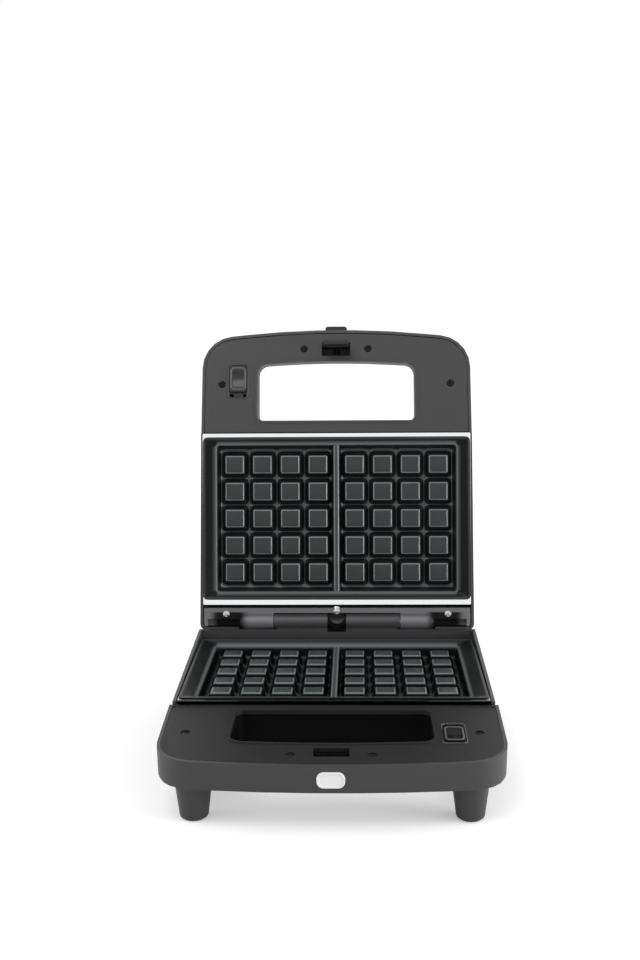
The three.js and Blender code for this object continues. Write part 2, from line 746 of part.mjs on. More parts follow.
// Base housing: side walls, floor, hinge barrel and rear ledge.
function baseHousing(screws) {
  const farFront = baseFront + halfDepth;
  const high = baseRimRise + 3 * overrun;
  const profile = [
    [-baseRear + overrun, -baseLedgeDrop], [-baseRear + overrun, high], [-farFront, high],
    [-farFront, deckHeight(farFront)], [-junction, -deckDrop], [-junction, -baseRimFrontDrop],
    [-baseRimWallFront, baseRimRise], [-baseRimWallRear, baseRimRise], [-baseRimWallRear, -baseLedgeDrop],
  ];
  const floor = -halfDepth + wall;
  const ledge = block(-baseFront, baseFront, -baseRimWallFront, baseFront, -baseLedgeDrop - wall, 2 * high);
  const deckHollow = inFront(hollow(baseDeckShape, high), baseDeckShape, junction + wall);
  const cavities = [hollow(baseShape, high).add(deckHollow).subtract(ledge)];
  let body = housing(baseShape, baseDeckShape, baseOpening, profile, cavities, screws);
  const hingeZ = hingeRise;
  const barrel = rod(-barrelHalfLength, barrelHalfLength, 0, hingeZ, barrelRadius);
  const web = block(-barrelWebHalf, barrelWebHalf, -baseRimWallFront + clearance,
    -baseRimWallFront + clearance + barrelWebThickness + barrelRadius / 2,
    -baseLedgeDrop - wall / 2, hingeZ - barrelRadius / 2);
  body = body.add(join([barrel, web]));
  const notch = bar(0, -barrelRadius - overrun, barrelRadius + overrun, hingeZ + driverNotchRise, driverNotchRadius);
  const bores = [-1, 1].map((side) => {
    const end = side * (barrelHalfLength + overrun);
    const inner = side * (barrelHalfLength - hingePinInset - clearance);
    return rod(Math.min(end, inner), Math.max(end, inner), 0, hingeZ, hingePinRadius + clearance, smallSides);
  });
  const lensCut = lensBlock(clearance, lensWallY - overrun, lensWallY + wall + overrun / 2);
  const inlet = bar(glandX, -baseRear - wall - overrun, -baseRear + overrun, -glandDrop, glandRadius + clearance);
  const vents = [];
  for (let side = -1; side <= 1; side += 2) {
    for (let k = 0; k < ventRows; k += 1) {
      const y = -(plateRear + plateFront) / 2 + ventPitch * (k - (ventRows - 1) / 2);
      vents.push(block(side * ventX - ventLength / 2, side * ventX + ventLength / 2,
        y - ventWidth / 2, y + ventWidth / 2, -halfDepth - overrun, floor + overrun));
    }
  }
  return cut(body, [notch, ...bores, lensCut, inlet, ...vents]);
}

// Lid shell: outer cover of the upper half, with room for the hinge barrel and the latch tab.
function lidShell(screws) {
  const farFront = lidFront + halfDepth;
  const high = baseRimRise + 3 * overrun;
  const profile = [
    [-lidRear + overrun, -lidRimDrop], [-lidRear + overrun, high], [-farFront, high],
    [-farFront, deckHeight(farFront)], [-junction, -deckDrop], [-junction, -lidRimDrop],
  ];
  const cavities = [hollow(lidShape, high)];
  const body = housing(lidShape, lidShape, lidOpening, profile, cavities, screws);
  const trough = rod(-barrelHalfLength - knuckleLength - 2 * hingeSideGap, barrelHalfLength + knuckleLength
    + 2 * hingeSideGap, 0, -hingeRise, barrelRadius + hingeTroughGap);
  const floor = -halfDepth + wall / 2;
  const coverUnder = -lidRimDrop - barrelRadius * coverSlabShare - clearance;
  const hingeBosses = hingeScrewSpots.map(([x, y]) => post(x, -y, floor, coverUnder, bossRadius));
  const hingeHoles = hingeScrewSpots.map(([x, y]) => post(x, -y,
    -lidRimDrop - screwSink - screwHeadHeight - hingeScrewLength, 0, screwShankRadius + clearance,
    undefined, smallSides));
  const eyeTop = -latchPivotDrop + latchEyeRadius;
  const brackets = [-1, 1].map((side) => {
    const inner = side * (latchHalfWidth + clearance);
    const outer = side * (latchHalfWidth + clearance + wall);
    return block(Math.min(inner, outer), Math.max(inner, outer), -latchPivotY - latchEyeRadius,
      -latchPivotY + latchEyeRadius, floor, eyeTop);
  });
  const seatFront = latchArmRear - latchSpringPlay - latchSpringLength - 2 * springWireRadius - clearance;
  const springSeat = block(-latchSeatHalfWidth, latchSeatHalfWidth, -seatFront,
    -seatFront + latchSeatThickness, floor, -latchPivotDrop + latchSpringRise + latchSpringRadius);
  const pinBore = rod(-latchHalfWidth - 2 * wall, latchHalfWidth + 2 * wall, -latchPivotY, -latchPivotDrop,
    latchPinRadius + clearance, smallSides);
  const tabSlot = block(-tabHalfWidth - tabSlotMargin, tabHalfWidth + tabSlotMargin,
    -lidFront - overrun, -lidFront + wall + overrun / 2,
    -tabDrop - tabThickness / 2 - tabSlotMargin, -tabDrop + tabThickness / 2 + tabSlotMargin);
  return cut(join([body, ...hingeBosses, ...brackets, springSeat]), [trough, tabSlot, pinBore, ...hingeHoles]);
}

// Hinge cover of the lid: the strip behind the plate, with the two knuckles and a trough
// that clears the barrel.
function lidHingeCover() {
  const z = -hingeRise;
  const shape = bowed(lidShape, coverInset);
  const width = lidHalfRear;
  const slab = prism(shape, -lidRimDrop - barrelRadius * coverSlabShare, -lidRimDrop)
    .intersect(block(-width, width, -lidHingeCoverFront, -lidRear, -halfDepth, 0));
  const trough = rod(-barrelHalfLength - hingeSideGap, barrelHalfLength + hingeSideGap, 0, z,
    barrelRadius + hingeTroughGap);
  const sideWells = [-1, 1].map((side) => {
    const inner = side * (barrelHalfLength + knuckleLength + hingeSideGap);
    const outer = side * (lidHalfRear - wall * 3);
    return block(Math.min(inner, outer), Math.max(inner, outer), -lidHingeScrewY + bossRadius,
      -lidRear + overrun, -lidRimDrop - barrelRadius, 0);
  });
  const knuckles = [-1, 1].map((side) => {
    const start = barrelHalfLength + hingeSideGap;
    const body = rod(start, start + knuckleLength - knuckleEndRadius, 0, z, barrelRadius);
    const end = new THREE.LatheGeometry([
      new THREE.Vector2(0, 0), new THREE.Vector2(barrelRadius, 0),
      new THREE.Vector2(barrelRadius * 0.92, knuckleEndRadius * 0.5),
      new THREE.Vector2(barrelRadius * 0.72, knuckleEndRadius * 0.85),
      new THREE.Vector2(0, knuckleEndRadius),
    ], roundSides);
    end.rotateZ(-quarter);
    end.translate(start + knuckleLength - knuckleEndRadius, 0, z);
    const whole = body.add(solid(end));
    return side > 0 ? whole : solid(geometryOf(whole).rotateY(Math.PI).translate(0, 0, 2 * z));
  });
  const bores = [-1, 1].map((side) => {
    const inner = side * barrelHalfLength;
    const outer = side * (barrelHalfLength + knuckleLength - hingePinTip);
    return rod(Math.min(inner, outer), Math.max(inner, outer), 0, z, hingePinRadius + clearance, smallSides);
  });
  const recesses = hingeScrewSpots.flatMap(([x, y]) => [
    post(x, -y, -lidRimDrop - screwSink - screwHeadHeight - clearance, 0, screwHeadRadius + clearance),
    post(x, -y, -halfDepth, 0, screwShankRadius + clearance, undefined, smallSides),
  ]);
  const body = cut(slab, [trough, ...sideWells]);
  return cut(join([body, ...knuckles]), [...bores, ...recesses]);
}

function hingePin(side) {
  const inner = side * (barrelHalfLength - hingePinInset);
  const outer = side * (barrelHalfLength + knuckleLength - hingePinTip - clearance);
  return rod(Math.min(inner, outer), Math.max(inner, outer), 0, 0, hingePinRadius, smallSides);
}

// Height in the lid's half of a point of the base, when the lid is closed past parallel.
function acrossAt(y, z) {
  const tilt = THREE.MathUtils.degToRad(closeTiltDeg);
  const low = z - hingeRise;
  return -(y * Math.sin(tilt) + low * Math.cos(tilt)) - hingeRise;
}

// Latch lever in the lid: eye round the pin, thumb tab out through the front wall, and an arm
// that reaches across to the keeper in the base.
function latchLever() {
  const pivotZ = -latchPivotDrop;
  const eye = rod(-latchHalfWidth, latchHalfWidth, -latchPivotY, pivotZ, latchEyeRadius);
  const keeperEdge = keeperRear + keeperWidth;
  const keeperUnder = deckHeight(keeperEdge) - keeperDrop - keeperThickness;
  const tip = acrossAt(keeperEdge, keeperUnder) + latchBarbPlay + latchBarbHeight;
  const armFront = latchArmRear + latchArmThickness;
  const arm = sidePlate(-latchHalfWidth, latchHalfWidth, [
    [-latchPivotY, pivotZ - latchArmThickness / 2], [-latchArmRear, pivotZ - latchArmThickness / 2],
    [-latchArmRear, tip - latchBarbHeight], [-latchArmRear + latchBarbReach, tip - latchBarbHeight],
    [-latchArmRear + latchBarbReach, tip - latchBarbHeight / 2], [-latchArmRear, tip],
    [-armFront, tip], [-armFront, pivotZ + latchArmThickness / 2], [-latchPivotY, pivotZ + latchArmThickness / 2],
  ]);
  const tabFront = lidFront + tabReach;
  const tab = prism(rounded([
    [tabHalfWidth, -latchPivotY, tabRadius / 2], [-tabHalfWidth, -latchPivotY, tabRadius / 2],
    [-tabHalfWidth, -tabFront, tabRadius], [tabHalfWidth, -tabFront, tabRadius],
  ]), -tabDrop - tabThickness / 2, -tabDrop + tabThickness / 2);
  const bore = rod(-latchHalfWidth - overrun, latchHalfWidth + overrun, -latchPivotY, pivotZ,
    latchPinRadius + clearance, smallSides);
  return join([eye, arm, tab]).subtract(bore);
}

// Pin that the latch lever turns on.
function latchPin() {
  const half = latchHalfWidth + wall;
  return rod(-half, half, -latchPivotY, -latchPivotDrop, latchPinRadius, smallSides);
}

function latchSpring() {
  const front = latchArmRear - latchSpringPlay - springWireRadius;
  return coil(0, -front, -latchPivotDrop + latchSpringRise, latchSpringRadius, latchSpringLength, latchSpringTurns);
}

// Steel strip under the base deck, along the rear edge of the window, that the hook catches.
function latchKeeper() {
  const half = windowHalfWidth + keeperOverhang;
  return lean(block(-half, half, -keeperRear - keeperWidth, -keeperRear,
    -deckDrop - keeperDrop - keeperThickness, -deckDrop - keeperDrop));
}

// Foot: tapered, with a rounded tip and a recess for its pad.
function foot(x, y) {
  const top = -halfDepth - clearance;
  const low = -halfDepth - footHeight;
  const cone = post(x, -y, low + footEdge, top, footBottomRadius, footTopRadius);
  const tip = post(x, -y, low, low + footEdge * 1.1, footBottomRadius - footEdge / 2, footBottomRadius);
  return join([cone, tip]).subtract(post(x, -y, low - overrun, low + padThickness - padProud + clearance,
    padRadius + clearance));
}

// Upright outline of the lens, grown by a margin, between two places along y.
function lensBlock(margin, y0, y1) {
  const halfX = lensHalfWidth + margin;
  const halfZ = lensHalfHeight + margin;
  const upright = prism(rounded([
    [halfX, halfZ, lensRadius], [-halfX, halfZ, lensRadius],
    [-halfX, -halfZ, lensRadius], [halfX, -halfZ, lensRadius],
  ]), 0, y1 - y0);
  return solid(geometryOf(upright).rotateX(quarter).translate(0, y1, -lensDrop));
}

// Lens in the front wall, held by a flange behind the wall.
function indicatorLens() {
  const behind = lensWallY + wall + clearance;
  return lensBlock(0, lensWallY - lensProud, behind + lensFlange / 2).add(
    lensBlock(lensFlange, behind, behind + lensFlange));
}

// Small board behind the lens, standing on the floor, with the lamp on its front.
function indicatorLamp() {
  const y = lensWallY + lampBoardSetback;
  const low = -halfDepth + wall + clearance;
  const board = block(-lampBoardHalfWidth, lampBoardHalfWidth, y, y + lampBoardThickness, low, low + lampBoardHeight);
  return board.add(bar(0, y - lampLength, y + lampBoardThickness / 2, -lensDrop, lampRadius, smallSides));
}

function thermostat() {
  const top = -panDepth - clearance;
  return post(thermostatX, -thermostatY, top - thermostatHeight, top, thermostatRadius);
}

function thermalFuse() {
  return rod(fuseX - fuseLength / 2, fuseX + fuseLength / 2, -thermostatY,
    -panDepth - clearance - fuseRadius, fuseRadius, smallSides);
}

// Terminal block on the floor, with a row of wire wells along its top.
function terminalBlock() {
  const low = -halfDepth + wall + clearance;
  const body = block(blockX - blockLength / 2, blockX + blockLength / 2,
    -blockY - blockWidth / 2, -blockY + blockWidth / 2, low, low + blockHeight);
  const wells = [-1, 0, 1].map((k) => post(blockX + k * blockLength / 3, -blockY,
    low + blockHeight / 2, low + blockHeight + overrun, fuseRadius, undefined, smallSides));
  return cut(body, wells);
}

// Gland in the rear wall where a cord would enter.
function cordGland() {
  const face = baseWallRearY + clearance;
  const flange = bar(glandX, face, face + glandFlange, -glandDrop, glandFlangeRadius);
  const neck = bar(glandX, face - glandLength, face + glandFlange / 2, -glandDrop, glandRadius);
  return flange.add(neck).subtract(bar(glandX, face - glandLength - overrun, face + glandFlange + overrun,
    -glandDrop, glandBoreRadius, 2 * smallSides));
}

function colour(hex, roughness, metalness) {
  return new THREE.MeshStandardMaterial({ color: hex, roughness, metalness });
}

const housingPlastic = () => colour(0x3a3a3b, 0.55, 0);
const deckPlastic = () => colour(0x404042, 0.6, 0);
const darkPlastic = () => colour(0x2c2c2e, 0.5, 0);
const nonstick = () => colour(0x1d2223, 0.38, 0.1);
const polished = () => colour(0xd8dadc, 0.15, 1);
const steel = () => colour(0xa9acaf, 0.3, 1);
const darkScrew = () => colour(0x36373a, 0.45, 0.6);
const rubber = () => colour(0x232324, 0.9, 0);
const whiteLens = () => colour(0xe6e6e4, 0.3, 0);
const ceramic = () => colour(0xcfc8b8, 0.8, 0);

const model = new THREE.Group();
const baseHalf = new THREE.Group();
const lidHalf = new THREE.Group();
const lidTurn = new THREE.Group();
baseHalf.position.z = -hingeRise;
lidTurn.position.z = -hingeRise;
lidTurn.rotation.y = Math.PI;
lidHalf.rotation.x = -THREE.MathUtils.degToRad(openAngleDeg);
lidHalf.add(lidTurn);
model.add(baseHalf, lidHalf);

function place(parent, name, body, material) {
  const mesh = new THREE.Mesh(geometryOf(body), material);
  mesh.name = name;
  parent.add(mesh);
  return mesh;
}

const baseScrews = [
  [-baseScrewX, baseScrewY], [baseScrewX, baseScrewY],
  [-innerScrewX, baseInnerScrewY], [innerScrewX, baseInnerScrewY],
];
const lidScrews = [
  [-lidScrewX, lidScrewY], [lidScrewX, lidScrewY],
  [-innerScrewX, lidInnerScrewY], [innerScrewX, lidInnerScrewY],
];

place(baseHalf, 'base_housing', baseHousing(baseScrews), housingPlastic());
place(baseHalf, 'base_handle_cover', handleCover(baseShape, baseOpening, baseScrews, 1), deckPlastic());
place(baseHalf, 'lower_plate', wafflePlate(), nonstick());
place(baseHalf, 'lower_reflector', reflector(), polished());
place(baseHalf, 'lower_heater', heater(), steel());
place(baseHalf, 'lower_release_slider', releaseSlider(1), darkPlastic());
place(baseHalf, 'lower_release_spring', returnSpring(1), steel());

place(lidTurn, 'lid_shell', lidShell(lidScrews), housingPlastic());
place(lidTurn, 'lid_handle_cover', handleCover(lidShape, lidOpening, lidScrews, 1), deckPlastic());
place(lidTurn, 'lid_hinge_cover', lidHingeCover(), deckPlastic());
place(lidTurn, 'upper_plate', wafflePlate(), nonstick());
place(lidTurn, 'upper_reflector', reflector(), polished());
place(lidTurn, 'upper_heater', heater(), steel());
place(lidTurn, 'upper_release_slider', releaseSlider(1), darkPlastic());
place(lidTurn, 'upper_release_spring', returnSpring(1), steel());
place(lidTurn, 'latch_lever', latchLever(), darkPlastic());

place(lidTurn, 'latch_pin', latchPin(), steel());
place(lidTurn, 'latch_spring', latchSpring(), steel());
place(baseHalf, 'latch_keeper', latchKeeper(), steel());
place(baseHalf, 'indicator_lens', indicatorLens(), whiteLens());
place(baseHalf, 'indicator_lamp', indicatorLamp(), ceramic());
place(baseHalf, 'thermostat', thermostat(), ceramic());
place(baseHalf, 'thermal_fuse', thermalFuse(), steel());
place(baseHalf, 'terminal_block', terminalBlock(), ceramic());
place(baseHalf, 'cord_gland', cordGland(), rubber());

const cornerNames = ['left', 'right', 'inner_left', 'inner_right'];
baseScrews.forEach(([x, y], i) => {
  place(baseHalf, `base_screw_${cornerNames[i]}`, deckScrew(x, y), darkScrew());
});
lidScrews.forEach(([x, y], i) => {
  place(lidTurn, `lid_screw_${cornerNames[i]}`, deckScrew(x, y), darkScrew());
});
[['left', 0], ['right', 1], ['middle', 2]].forEach(([name, i]) => {
  const [x, y] = hingeScrewSpots[i];
  place(lidTurn, `hinge_screw_${name}`, screw(x, y, -lidRimDrop - screwSink, hingeScrewLength), steel());
});
place(model, 'hinge_pin_left', hingePin(-1), steel());
place(model, 'hinge_pin_right', hingePin(1), steel());

[['front_left', -1, footFrontY], ['front_right', 1, footFrontY],
  ['rear_left', -1, footRearY], ['rear_right', 1, footRearY]].forEach(([name, side, y]) => {
  const low = -halfDepth - footHeight - padProud;
  place(baseHalf, `foot_${name}`, foot(side * footX, y), housingPlastic());
  place(baseHalf, `foot_pad_${name}`, post(side * footX, -y, low, low + padThickness, padRadius), rubber());
});

// The origin is the middle of the floor under the standing part.
model.updateMatrixWorld(true);
const bounds = new THREE.Box3().setFromObject(model, true);
const middle = bounds.getCenter(new THREE.Vector3());
model.position.set(-middle.x, -middle.y, -bounds.min.z);

export default model;
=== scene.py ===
"""Waffle and sandwich maker standing open: its surfaces, finishes, stage and camera.

Lengths are metres. Each half of the maker has its own flat frame, "half coordinates": z = 0 where the
closed plates meet, y = 0 under the hinge axis, the handle towards -y and the inside of the half
towards -z. The lower half is only lifted to its height. The upper half is turned half round about y
and then swung open about the hinge. The letter d is the distance from the hinge axis towards the
handle, so y = -d in half coordinates.
"""

import json
import math
from types import SimpleNamespace

import bmesh
import bpy
import numpy as np
from mathutils import Matrix, Vector


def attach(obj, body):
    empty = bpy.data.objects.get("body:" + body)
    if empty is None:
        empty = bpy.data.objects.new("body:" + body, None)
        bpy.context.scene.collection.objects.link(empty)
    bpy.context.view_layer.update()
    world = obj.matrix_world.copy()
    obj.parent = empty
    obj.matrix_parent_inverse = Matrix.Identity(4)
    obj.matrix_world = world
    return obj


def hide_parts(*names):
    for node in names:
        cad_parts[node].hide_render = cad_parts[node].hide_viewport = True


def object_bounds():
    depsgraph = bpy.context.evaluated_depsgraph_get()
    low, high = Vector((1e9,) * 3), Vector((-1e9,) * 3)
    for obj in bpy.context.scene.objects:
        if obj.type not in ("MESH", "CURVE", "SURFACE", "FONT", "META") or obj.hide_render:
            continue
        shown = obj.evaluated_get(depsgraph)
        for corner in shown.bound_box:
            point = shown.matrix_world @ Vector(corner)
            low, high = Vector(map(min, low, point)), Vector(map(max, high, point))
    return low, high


bl_info = {
    "name": "Waffle and sandwich maker",
    "version": (1, 0, 0),
    "blender": (4, 5, 0),
    "location": "3D View > Sidebar > Waffle maker",
    "description": "Plates, covers, housings and stage of an open waffle and sandwich maker",
    "category": "Object",
}

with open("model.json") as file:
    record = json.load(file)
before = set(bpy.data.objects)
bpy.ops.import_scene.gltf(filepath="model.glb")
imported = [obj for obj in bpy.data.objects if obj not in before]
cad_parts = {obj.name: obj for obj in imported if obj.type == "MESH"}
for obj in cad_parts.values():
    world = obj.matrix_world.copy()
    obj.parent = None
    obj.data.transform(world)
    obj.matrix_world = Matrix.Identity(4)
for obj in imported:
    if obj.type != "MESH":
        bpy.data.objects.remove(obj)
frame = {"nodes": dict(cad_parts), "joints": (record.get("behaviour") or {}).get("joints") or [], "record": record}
CAD_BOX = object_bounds()
HINGE = next(j for j in frame["joints"] if j["name"] == "lid_hinge")
HINGE_POINT = Vector(HINGE["pos_m"])

# Points round a closed loop
LOOP_POINTS = 96
SCREW_POINTS = 72

# Pegs across each of the plate's two groups, and rows of pegs
PEG_COLUMNS = 4
PEG_ROWS = 5

# Where a plate's grid lines gather: distances from the edge of a peg, of the field, of the plate and
# of the divider
PEG_OFFSETS = np.array([-0.0008, -0.0004, -0.0001, 0.00025, 0.0006, 0.0012, 0.0020, 0.0028, 0.0035, 0.0040])
WALL_OFFSETS = np.array([-0.0008, -0.0003, 0.0, 0.0004, 0.0009, 0.0015, 0.0020, 0.0027])
CREST_OFFSETS = np.array([0.0, 0.0003, 0.0008, 0.0013, 0.0017])
DIVIDER_OFFSETS = np.array([-0.0010, -0.0005, -0.0001, 0.0003, 0.0008, 0.0014, 0.0022, 0.003])

# Bands of rubbed coat and painted highlight along the plate's edges, and a band of painted highlight beside the
# field: middle, width, level
PEG_RUBBING_AND_HIGHLIGHT = (-0.0001, 0.00055, 1.3)
WALL_RUBBING_AND_HIGHLIGHT = (0.0008, 0.0010, 0.715)
DIVIDER_RUBBING_AND_HIGHLIGHT = (-0.0003, 0.0007, 1.04)
CREST_RUBBING_AND_HIGHLIGHT = (0.0010, 0.0011, 0.26)
BORDER_HIGHLIGHT = (0.0008, 0.0012, 0.25)

# Painted light and shade on the coat: what steep sides lose as painted shade, what the pegs' tops and the valleys
# gain as painted light, and the border's darker share. The lower plate has its own values.
UPPER_PAINTED_LIGHT = SimpleNamespace(steep=0.42, tops=0.0, valleys=0.7, border=0.26)
LOWER_PAINTED_LIGHT = SimpleNamespace(steep=0.90, tops=1.7, valleys=0.7, border=0.40)

# Rings over a screw's head, as shares of its radius
HEAD_SHARES = (0.08, 0.16, 0.24, 0.32, 0.4, 0.48, 0.55, 0.61, 0.66, 0.71, 0.76, 0.82, 0.88, 0.93, 0.97, 0.99)

# Deck of a handle in half coordinates: where it starts, its depth there and its fall towards the front
DECK_START = 0.1585
DECK_DROP = 0.00795
DECK_SLOPE = math.tan(math.radians(5.9))

# Release buttons: distance from the middle, corner radius, and the section of the bead round them as
# steps outwards and upwards from that corner radius and the deck
BUTTON_X = 0.0826
BUTTON_CORNER = 0.0024
BEAD_SECTION = (
    (-0.0003, -0.0020), (-0.0002, -0.0001), (0.0001, 0.0004), (0.0005, 0.0006),
    (0.0009, 0.0005), (0.0013, 0.0001), (0.0014, -0.0004), (0.0006, -0.0012),
)

# Softened pieces: body, slot, bevel as a share of the edge softness, and what else sets them apart.
# Their painted light makes lit and shaded copies of one plastic: painted shade on both handle covers and the lower
# slider, painted light on the lid's hinge cover
SOFT_PIECES = {
    "base_housing": ("base", "housing_plastic", 2.6, {"crisp": 0.22, "rounded": True}),
    "base_handle_cover": (
        "base", "deck_plastic", 2.2,
        {"tone": 0.26, "spread": (1.0042, 1.0105), "crisp": 0.16, "outset": 0.00215}),
    "lid_shell": ("lid", "housing_plastic", 1.6, {"crisp": 0.35, "rounded": True}),
    "lid_handle_cover": ("lid", "deck_plastic", 0.35, {"tone": 0.76, "spread": (1.0036, 1.0015)}),
    "lid_hinge_cover": ("lid", "deck_plastic", 1.0, {"tone": 2.6}),
    "latch_lever": ("latch", "dark_plastic", 1.0, {}),
    "upper_release_slider": ("upper_release", "dark_plastic", 0.8, {}),
    "lower_release_slider": ("lower_release", "dark_plastic", 0.8, {"tone": 0.4}),
}

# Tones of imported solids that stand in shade
SHADED_TONES = {"lower_reflector": 0.35, "latch_keeper": 0.12, "latch_spring": 0.06}

# Colour, roughness, grain and bump of each plastic or coat
PLASTICS = {
    "housing_plastic": ("housing", 0.40, 2600, 0.35),
    "deck_plastic": ("deck", 0.44, 2600, 0.4),
    "dark_plastic": ("button", 0.26, 2200, 0.12),
    "nonstick_plate": ("coating", 0.34, 900, 0.25),
    "rubber": ("rubber", 0.75, 1500, 0.5),
    "white_lens": ("lens", 0.22, 300, 0.05),
    "ceramic": ("ceramic", 0.6, 800, 0.3),
}

# Colour, roughness and stretch of each metal
METALS = {
    "polished_sheet": ("sheet", 0.10, (1, 14, 14)),
    "steel": ("steel", 0.24, (1, 6, 6)),
    "dark_screw": ("black_screw", 0.4, (1, 1, 1)),
}

# Spaces that no light reaches: middle, half size and blur on each of |X|, Y and Z. In the housings
# they are the lower handle opening, the latch window and the screwdriver notch. In the lid's hinge
# cover they are the wells at its sides.
DEEP_SPACES = (
    ((0.0, 0.0720, 0.0002), (-0.1017, 0.0258, 0.0002), (0.0200, 0.0345, 0.0002)),
    ((0.0, 0.0135, 0.0002), (-0.1380, 0.0062, 0.0002), (0.0400, 0.0165, 0.0002)),
    ((0.0, 0.0078, 0.0002), (0.0850, 0.0100, 0.0002), (0.0745, 0.0075, 0.0002)),
)
HINGE_WELLS = (((0.0905, 0.0135, 0.0040), (0.0900, 0.0300, 0.0010), (0.0700, 0.0108, 0.0006)),)


def length(name, default, description):
    """Setting that holds a length."""
    return bpy.props.FloatProperty(
        name=name, description=description, default=default, subtype="DISTANCE", unit="LENGTH")


def angle(name, degrees, description):
    """Setting that holds an angle."""
    return bpy.props.FloatProperty(
        name=name, description=description, default=math.radians(degrees), subtype="ANGLE", unit="ROTATION")


def colour(name, default, description):
    """Setting that holds a colour."""
    return bpy.props.FloatVectorProperty(
        name=name, description=description, default=default, subtype="COLOR", min=0, max=1)


def number(name, default, description, unit="NONE"):
    """Setting that holds any other number."""
    return bpy.props.FloatProperty(name=name, description=description, default=default, unit=unit)


class MakerSizes(bpy.types.PropertyGroup):
    """Sizes of the maker's patterned pieces."""

    open_angle: angle("Open angle", 99, "How far the lid stands open")
    hinge_rise: length("Hinge rise", 0.00865, "Height of the hinge axis above the plates' meeting plane")
    plate_half_width: length("Plate half width", 0.1117, "From the middle to the plate's outer edge")
    plate_rear: length("Plate rear", 0.019, "From the hinge axis to the plate's rear edge")
    plate_front: length("Plate front", 0.1550, "From the hinge axis to the plate's front edge")
    plate_corner: length("Plate corner", 0.004, "Radius of the plate's corners")
    crest_drop: length("Crest drop", 0.00085, "Depth of the crest's rear end below the meeting plane")
    crest_front_drop: length(
        "Crest front drop", 0.004, "Depth of the crest's front end below the meeting plane")
    crest_width: length("Crest width", 0.0016, "Flat width of the crest")
    rim_drop: length("Rim drop", 0.0046, "Depth of the underside of the plate's border")
    field_half_width: length("Field half width", 0.1002, "From the middle to the edge of the patterned field")
    field_rear: length("Field rear", 0.0256, "From the hinge axis to the field's rear edge")
    field_front: length("Field front", 0.1479, "From the hinge axis to the field's front edge")
    field_corner: length("Field corner", 0.0023, "Radius of the field's corners")
    field_drop: length("Field drop", 0.00555, "Depth of the pegs' tops below the meeting plane")
    pitch_x: length("Pitch across", 0.0233, "From one peg to the next across")
    pitch_y: length("Pitch along", 0.0226, "From one peg to the next along")
    divider_space: length("Divider space", 0.0074, "Extra space between the two groups of pegs")
    peg_depth: length("Peg depth", 0.0088, "Height of a peg above the valley")
    peg_top_x: length("Peg top across", 0.0149, "Width of a peg's top")
    peg_top_y: length("Peg top along", 0.0142, "Length of a peg's top")
    skirt: length("Skirt", 0.0038, "Width of a peg's sloping side, seen from above")
    wall_skirt: length("Wall skirt", 0.0026, "Width of the field's sloping wall, seen from above")
    divider_half: length("Divider half width", 0.0020, "From the middle to the edge of the divider's top")
    rounding: length("Rounding", 0.0006, "Radius of the pegs' upper edges")
    skin: length("Plate skin", 0.0034, "Wall of the plate")
    edge_soft: length("Edge softness", 0.00045, "Width of the small bevel on moulded edges")
    lower_pitch_x: length("Lower pitch across", 0.0228, "Peg spacing across the lower plate")
    lower_peg_top_x: length("Lower peg top across", 0.0139, "Width of a lower peg's top")
    lower_peg_top_y: length("Lower peg top along", 0.0130, "Length of a lower peg's top")
    lower_field_half_width: length(
        "Lower field half width", 0.0988, "From the middle to the edge of the lower field")


class MakerColours(bpy.types.PropertyGroup):
    """Colours of the maker's finishes."""

    housing: colour("Housing", (0.030, 0.030, 0.032), "Moulded housing plastic")
    deck: colour("Deck", (0.034, 0.034, 0.036), "Moulded handle deck plastic")
    button: colour("Button", (0.007, 0.007, 0.008), "Plastic of the sliders and the latch")
    coating: colour("Coating", (0.0125, 0.0150, 0.0155), "Non-stick coating of the plates")
    # Pale coat along the plate's edges, for rubbing and for painted highlights
    rubbed_and_highlit_coating: colour("Worn coating", (0.150, 0.155, 0.160), "Coating where it is rubbed along edges")
    sheet: colour("Sheet", (0.93, 0.935, 0.94), "Polished reflector sheet")
    steel: colour("Steel", (0.78, 0.78, 0.79), "Plain steel")
    black_screw: colour("Black screw", (0.028, 0.028, 0.031), "Blackened screws")
    rubber: colour("Rubber", (0.018, 0.018, 0.019), "Foot pads and gland")
    lens: colour("Lens", (0.702, 0.702, 0.6981), "Translucent indicator lens")
    ceramic: colour("Ceramic", (0.60, 0.56, 0.47), "Ceramic and board parts")


class StageSettings(bpy.types.PropertyGroup):
    """Camera and light of the picture."""

    camera_place: bpy.props.FloatVectorProperty(
        name="Camera place", description="Where the camera stands",
        default=(0.0188, -0.9035, 0.3534), subtype="TRANSLATION", unit="LENGTH")
    pitch: angle("Pitch", 9.16, "How far the camera looks down")
    yaw: angle("Yaw", -1.56, "How far the camera turns right")
    roll: angle("Roll", -0.47, "How far the camera tips sideways")
    lens: number("Lens", 45.86, "Focal length in millimetres", unit="CAMERA")
    shift_x: number("Shift", -0.0061, "Sideways shift of the picture")
    sky: number("Sky", 0.62, "Strength of the even light")
    key: number("Key", 9.0, "Power of the main soft lamp", unit="POWER")
    fill: number("Fill", 4.0, "Power of the side soft lamp", unit="POWER")
    rim: number("Rim", 5.0, "Power of the two side lamps", unit="POWER")
    floor_lift: number("Floor lift", 0.60, "Light that the far floor shows of itself to the camera")
    # Less floor light under the maker than far off: a painted shadow on the floor
    painted_shadow_lift: number("Near lift", 0.30, "Light that the floor under the maker shows of itself to the camera")


def sizes():
    """The sizes as the panel holds them."""
    return bpy.context.scene.maker_sizes


